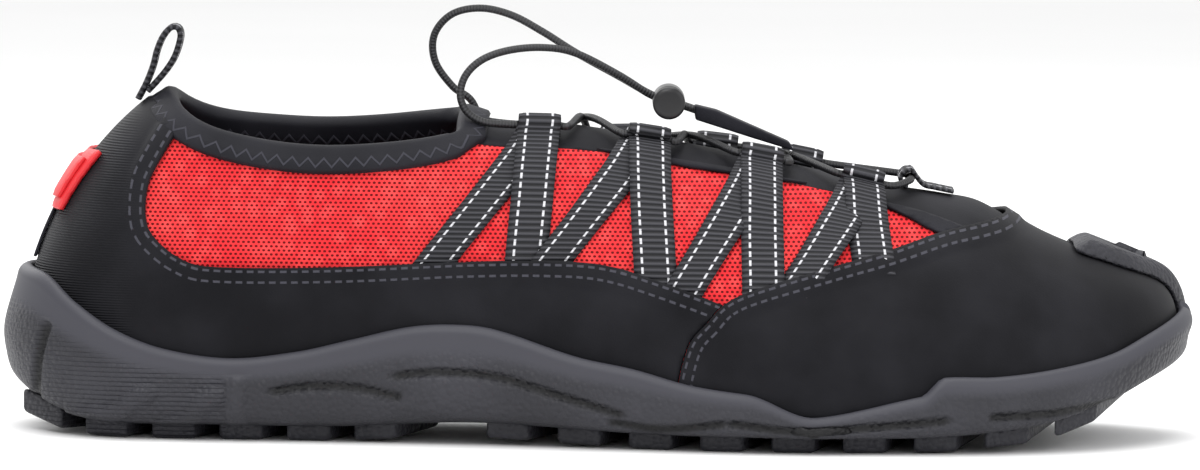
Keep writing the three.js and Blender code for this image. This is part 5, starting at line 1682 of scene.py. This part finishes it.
@dataclass
class Sole:
    """Rubber cup sole: side, lip, toe bumper, grooves and tread bars."""

    maker: Maker
    stations: int = 560
    rows: int = 48
    groove_depth: float = 1.1
    groove_span: Pair = (0.35, 1.5)
    lip_span: Pair = (0.6, 0.72)
    tread_spans: tuple[Pair, ...] = ((0.05, 0.33), (0.44, 0.91))
    tread_pitch: float = 17.5
    tread_inset: float = 8.0
    tread_lean: float = 0.8
    tread_shift: float = 5.5
    tread_half: float = 5.2
    tread_root: float = 2.2
    bar_height: float = 1.3
    bar_span: Pair = (1.3, 2.6)
    steps: tuple = ((0.0, -1.7), (0.035, -0.95), (0.1, -0.42), (0.25, -0.12), (0.5, 0.0))
    lips: tuple = ((3.6, 0.9), (2.0, 1.0), (0.7, 0.55), (0.05, -0.3), (-0.1, -1.1), (0.4, -1.9), (2.6, -2.1))
    grooves: tuple = (
        ((0.232, 0.149), (0.262, 0.165), (0.3, 0.164), (0.335, 0.14)),
        ((0.333, 0.2), (0.367, 0.213), (0.413, 0.205), (0.459, 0.163), (0.519, 0.105)),
        ((0.513, 0.083), (0.552, 0.067), (0.602, 0.085)),
        ((0.609, 0.088), (0.662, 0.07), (0.715, 0.079), (0.786, 0.101)),
        ((0.826, 0.111), (0.875, 0.118), (0.925, 0.14)),
        ((0.049, 0.375), (0.04, 0.298), (0.034, 0.21), (0.032, 0.097)),
    )
    bars: tuple = (
        ((0.062, 0.05), (0.099, 0.07), (0.118, 0.123), (0.128, 0.137)),
        ((0.138, 0.035), (0.16, 0.052), (0.172, 0.111), (0.185, 0.131)),
        ((0.201, 0.02), (0.201, 0.1), (0.201, 0.19)),
    )
    bumper_edge: tuple = ((0.99, 0.16), (0.97, 0.085), (0.945, 0.016), (0.921, -0.02), (0.9, -0.043),
                          (0.896, -0.02), (0.896, 0.05), (0.894, 0.24), (0.884, 0.4), (0.866, 0.56))

    def section(self, v: float, share: np.ndarray) -> np.ndarray:
        """Rings of the side at one side's stations.

        Args:
            v: sign of the side.
            share: stations from heel to toe.

        Returns:
            Points in mm by station and step.
        """
        side = np.full(len(share), v)
        edge, out = LAST.outline(side, share), LAST.outward(side, share)
        at = edge[:, 0] / SHOE_LENGTH + 0.5
        column = "lateral" if v < 0 else "medial"
        tread = lookup(SOLE, "tread", at) * HEEL_HEIGHT
        top = lookup(SOLE, column, at) * HEEL_HEIGHT
        if v < 0:
            guard = smoothstep(at, 0.765, 0.785)
            top = top - (1 - guard) * smoothstep(at, 0.62, 0.68) * 3.6
        levels = []
        for rise, off in self.steps:
            plan = edge + out * (off * SOLE_FLANGE)
            levels.append(np.concatenate([plan, (tread + (top - tread) * rise)[:, None]], axis=1))
        turns = np.linspace(0, 1, 41)
        arch = np.stack([LAST.surface(share, v * (1 - turn) * np.ones(len(share))) for turn in turns], axis=1)
        for below, off in self.lips:
            height = top - below
            wall = np.array([
                [np.interp(level, line[:, 2], line[:, axis]) for axis in (0, 1)]
                for level, line in zip(height, arch)
            ])
            plan = wall + out * (CUP_CLEARANCE + LIP + off)
            levels.append(np.concatenate([plan, height[:, None]], axis=1))
        return np.stack(levels, axis=1)

    def build(self) -> None:
        """Build the sole's pieces."""
        half = self.stations // 2
        share = np.linspace(0, 1, half + 1)
        lateral = self.section(-1.0, share)
        medial = self.section(1.0, share)
        ring = np.concatenate([lateral, medial[::-1][1:]], axis=0)
        count = ring.shape[0]
        fine = np.array([curve_through(station, self.rows) for station in ring])
        # Share of the lip per row: it keeps the rubber smooth there and carries its painted highlight.
        lip = smoothstep(np.linspace(0, 1, self.rows), *self.lip_span)
        outward = np.gradient(fine, axis=0)
        outward = np.stack([-outward[..., 1], outward[..., 0]], axis=-1)
        outward /= np.maximum(np.linalg.norm(outward, axis=-1, keepdims=True), 1e-9)
        facing = np.sign(np.einsum("ijk,ijk->ij", outward, fine[..., :2]))[..., None]
        outward = outward * np.where(facing == 0, 1, facing)
        push, groove_shade = self.relief(fine)
        fine[..., :2] += outward * push[..., None]
        bm = bmesh.new()
        bmesh.ops.create_grid(bm, x_segments=count - 1, y_segments=self.rows - 1, size=1.0)
        bm.verts.index_update()
        # dark holds the painted shade of the grooves, one value per vertex.
        values, dark = np.zeros(len(bm.verts)), np.zeros(len(bm.verts))
        for vert in bm.verts:
            station = round((vert.co.x + 1) / 2 * (count - 1))
            row = round((vert.co.y + 1) / 2 * (self.rows - 1))
            values[vert.index], dark[vert.index] = lip[row], groove_shade[station, row]
            vert.co = Vector(fine[station, row] * MM)
        looks = self.maker.materials
        self.maker.piece("outsole_side", bm, looks.rubber, "sole_rubber", nodes=("outsole",),
                         values={"lip": values, "groove_shade": dark}, wall=1.2, facing=points_up)
        self.build_plate(fine[:, 0], half)
        self.build_bars()
        self.build_bumper()

    def relief(self, fine: np.ndarray) -> tuple[np.ndarray, np.ndarray]:
        """Grooves and raised bars of the side.

        Args:
            fine: the side's points in mm, by station and row.

        Returns:
            The outward push in mm and the depth share of the grooves, by station and row; the share is
            painted into the rubber as groove shade.
        """
        flat = fine[..., [0, 2]].reshape(-1, 2)
        push = np.zeros(len(flat))
        groove_shade = np.zeros(len(flat))
        for row in self.grooves:
            distance, _ = line_distance(flat, curve_through(height_line(list(row)), 40))
            cut = 1 - smoothstep(distance, *self.groove_span)
            push -= self.groove_depth * cut
            groove_shade = np.maximum(groove_shade, cut)
        for row in self.bars:
            distance, _ = line_distance(flat, curve_through(height_line(list(row)), 40))
            push += self.bar_height * (1 - smoothstep(distance, *self.bar_span))
        push, groove_shade = push.reshape(fine.shape[:2]), groove_shade.reshape(fine.shape[:2])
        push[:, self.rows * 2 // 3:] *= 0.0
        return push, groove_shade

    def build_plate(self, ring: np.ndarray, half: int) -> None:
        """Underside between the two sides.

        Args:
            ring: the lowest line of the side, in mm.
            half: number of stations on one side.
        """
        lateral = ring[: half + 1]
        medial = ring[half:][::-1]
        across = np.linspace(0, 1, 21)
        rows = lateral[:, None, :] + (medial - lateral)[:, None, :] * across[None, :, None]
        self.maker.sweep("outsole_plate", rows, self.maker.materials.rubber, "sole_rubber", False,
                         rows[..., :2], nodes=("outsole",), wall=2.5, facing=lambda bm: -upward_sum(bm))

    def build_bars(self) -> None:
        """V-shaped tread bars under heel and forefoot, with bevelled edges."""
        bm = bmesh.new()
        share = np.linspace(0, 1, 200)
        sides = {v: LAST.outline(np.full(200, v), share) for v in (-1.0, 1.0)}
        for first, last in self.tread_spans:
            span = (last - first) * SHOE_LENGTH
            number = round(span / self.tread_pitch)
            for step in range(number + 1):
                x = float(along_x(first)) + span * step / number
                for v, outline in sides.items():
                    inner = float(np.interp(x, outline[:, 0], (sides[-1.0][:, 1] + sides[1.0][:, 1]) / 2))
                    self.bar(bm, x, inner, outline - [0.0, v * self.tread_inset])
        bmesh.ops.bevel(bm, geom=bm.edges[:], offset=1.2 * MM, segments=3, affect="EDGES",
                        profile=0.5, material=-1)
        self.maker.piece("outsole_bars", bm, self.maker.materials.rubber, "sole_rubber", nodes=("outsole",))

    def bar(self, bm: bmesh.types.BMesh, x: float, inner: float, edge: np.ndarray) -> None:
        """One half of a V-shaped bar, from the middle out to the side.

        Args:
            bm: the mesh that takes it.
            x: its place along the shoe in mm.
            inner: where its inner end lies across the shoe.
            edge: plan line that its outer end follows.
        """
        made = bmesh.ops.create_cube(bm, size=2.0)["verts"]
        for vert in made:
            out = (vert.co.y + 1) / 2
            place = x - LUG_SWEEP * out * self.tread_lean + self.tread_shift + vert.co.x * self.tread_half
            outer = float(np.interp(place, edge[:, 0], edge[:, 1]))
            at = np.clip(place / SHOE_LENGTH + 0.5, 0.0, 1.0)
            tread = float(lookup(SOLE, "tread", at)) * HEEL_HEIGHT
            fade = 1 - 0.5 * float(smoothstep(at, 0.86, 0.96))
            low = max(tread - LUG_HEIGHT * fade, 0.0)
            z = tread + self.tread_root if vert.co.z > 0 else low
            y = inner + (outer - inner) * out
            vert.co = Vector((place * MM, y * MM, z * MM))

    def build_bumper(self) -> None:
        """Rolled toe bumper that climbs onto the toe."""
        edge = np.array([(float(along_x(at)), side * BALL_WIDTH) for at, side in self.bumper_edge])
        outline = np.vstack([curve_through(edge, 60), [(170.0, 58.0), (170.0, 16.0)]])
        low = float(lookup(SOLE, "lateral", 1.0)) * HEEL_HEIGHT - 9.0

        def inside(u: np.ndarray, v: np.ndarray, points: np.ndarray) -> np.ndarray:
            """Distance inside the bumper's edge seen from above."""
            return np.minimum(signed_distance(points[:, :2], outline), points[:, 2] - low)

        def pillow(u: np.ndarray, v: np.ndarray, points: np.ndarray) -> np.ndarray:
            """Height off the last: a rounded edge and a flat face."""
            depth = signed_distance(points[:, :2], outline)
            return 1.7 + 3.3 * np.sqrt(smoothstep(depth, -0.3, 3.6))

        skin = Skin((0.7, 1.0), (-1.0, 1.0), (120, 160))
        skin.cut(inside)
        skin.lay(pillow)
        self.maker.piece("outsole_bumper", skin.bm, self.maker.materials.rubber, "sole_rubber",
                         nodes=("outsole",), wall=1.4, facing=points_up)


@dataclass
class Studio:
    """Camera, soft lights and pale floor."""

    def build(self) -> None:
        """Build the studio."""
        self.camera()
        self.light("key", (-0.25, -0.9, 1.1), 0.8, 9.0)
        self.light("fill", (0.9, -0.7, 0.6), 0.9, 3.5)
        self.light("top", (0.0, 0.2, 1.3), 1.0, 9.0)
        self.light("rim", (-0.6, 0.9, 0.7), 0.8, 4.0)
        bm = bmesh.new()
        bmesh.ops.create_grid(bm, x_segments=2, y_segments=2, size=4.0)
        mesh = bpy.data.meshes.new("floor")
        bm.to_mesh(mesh)
        bm.free()
        material = bpy.data.materials.new("floor")
        material.use_nodes = True
        shader = Shader(material.node_tree)
        noise = shader.add("TexNoise", {"Vector": shader.add("TexCoord").outputs["Object"], "Scale": 3.0})
        colour = shader.mix(noise.outputs[0], (0.93, 0.93, 0.93), (0.97, 0.97, 0.97))
        surface = material.node_tree.nodes["Principled BSDF"]
        shader.tree.links.new(colour, surface.inputs["Base Color"])
        surface.inputs["Roughness"].default_value = 0.9
        mesh.materials.append(material)
        floor = bpy.data.objects.new("floor", mesh)
        bpy.context.scene.collection.objects.link(floor)
        world = bpy.data.worlds.new("studio")
        world.use_nodes = True
        background = world.node_tree.nodes["Background"]
        background.inputs["Color"].default_value = (1.0, 1.0, 1.0, 1.0)
        background.inputs["Strength"].default_value = 0.95
        bpy.context.scene.world = world
        bpy.context.scene.view_settings.view_transform = "Standard"

    @staticmethod
    def camera() -> None:
        """Camera at the photograph's angle."""
        data = bpy.data.cameras.new("camera")
        data.lens = CAMERA_LENS
        data.sensor_width = 36.0
        data.clip_start = 0.01
        camera = bpy.data.objects.new("camera", data)
        forward = Vector((0.0, math.cos(CAMERA_PITCH), -math.sin(CAMERA_PITCH)))
        right = Vector((1.0, 0.0, 0.0))
        up = right.cross(forward)
        turned_right = right * math.cos(CAMERA_ROLL) + up * math.sin(CAMERA_ROLL)
        turned_up = up * math.cos(CAMERA_ROLL) - right * math.sin(CAMERA_ROLL)
        place = Vector((0.0, 0.0, CAMERA_TARGET)) - forward * CAMERA_DISTANCE
        axes = Matrix((turned_right, turned_up, -forward)).transposed().to_4x4()
        camera.matrix_world = Matrix.Translation(place) @ axes
        bpy.context.scene.collection.objects.link(camera)
        bpy.context.scene.camera = camera

    @staticmethod
    def light(name: str, place: Place, size: float, power: float) -> None:
        """Soft square light that looks at the shoe.

        Args:
            name: its name.
            place: where it stands, in metres.
            size: its side in metres.
            power: its power in watts.
        """
        data = bpy.data.lights.new(name, "AREA")
        data.size = size
        data.energy = power
        light = bpy.data.objects.new(name, data)
        light.location = place
        look = Vector((0.0, 0.0, 0.04)) - Vector(place)
        light.rotation_euler = look.to_track_quat("-Z", "Y").to_euler()
        bpy.context.scene.collection.objects.link(light)


def main() -> None:
    """Build the scene in order."""
    logging.basicConfig(level=logging.INFO, format="%(message)s")
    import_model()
    Studio().build()
    maker = Maker(Materials())
    Lacing(maker).build()
    Upper(maker).build()
    HeelPieces(maker).build()
    Sole(maker).build()


if __name__ == "__main__":
    main()
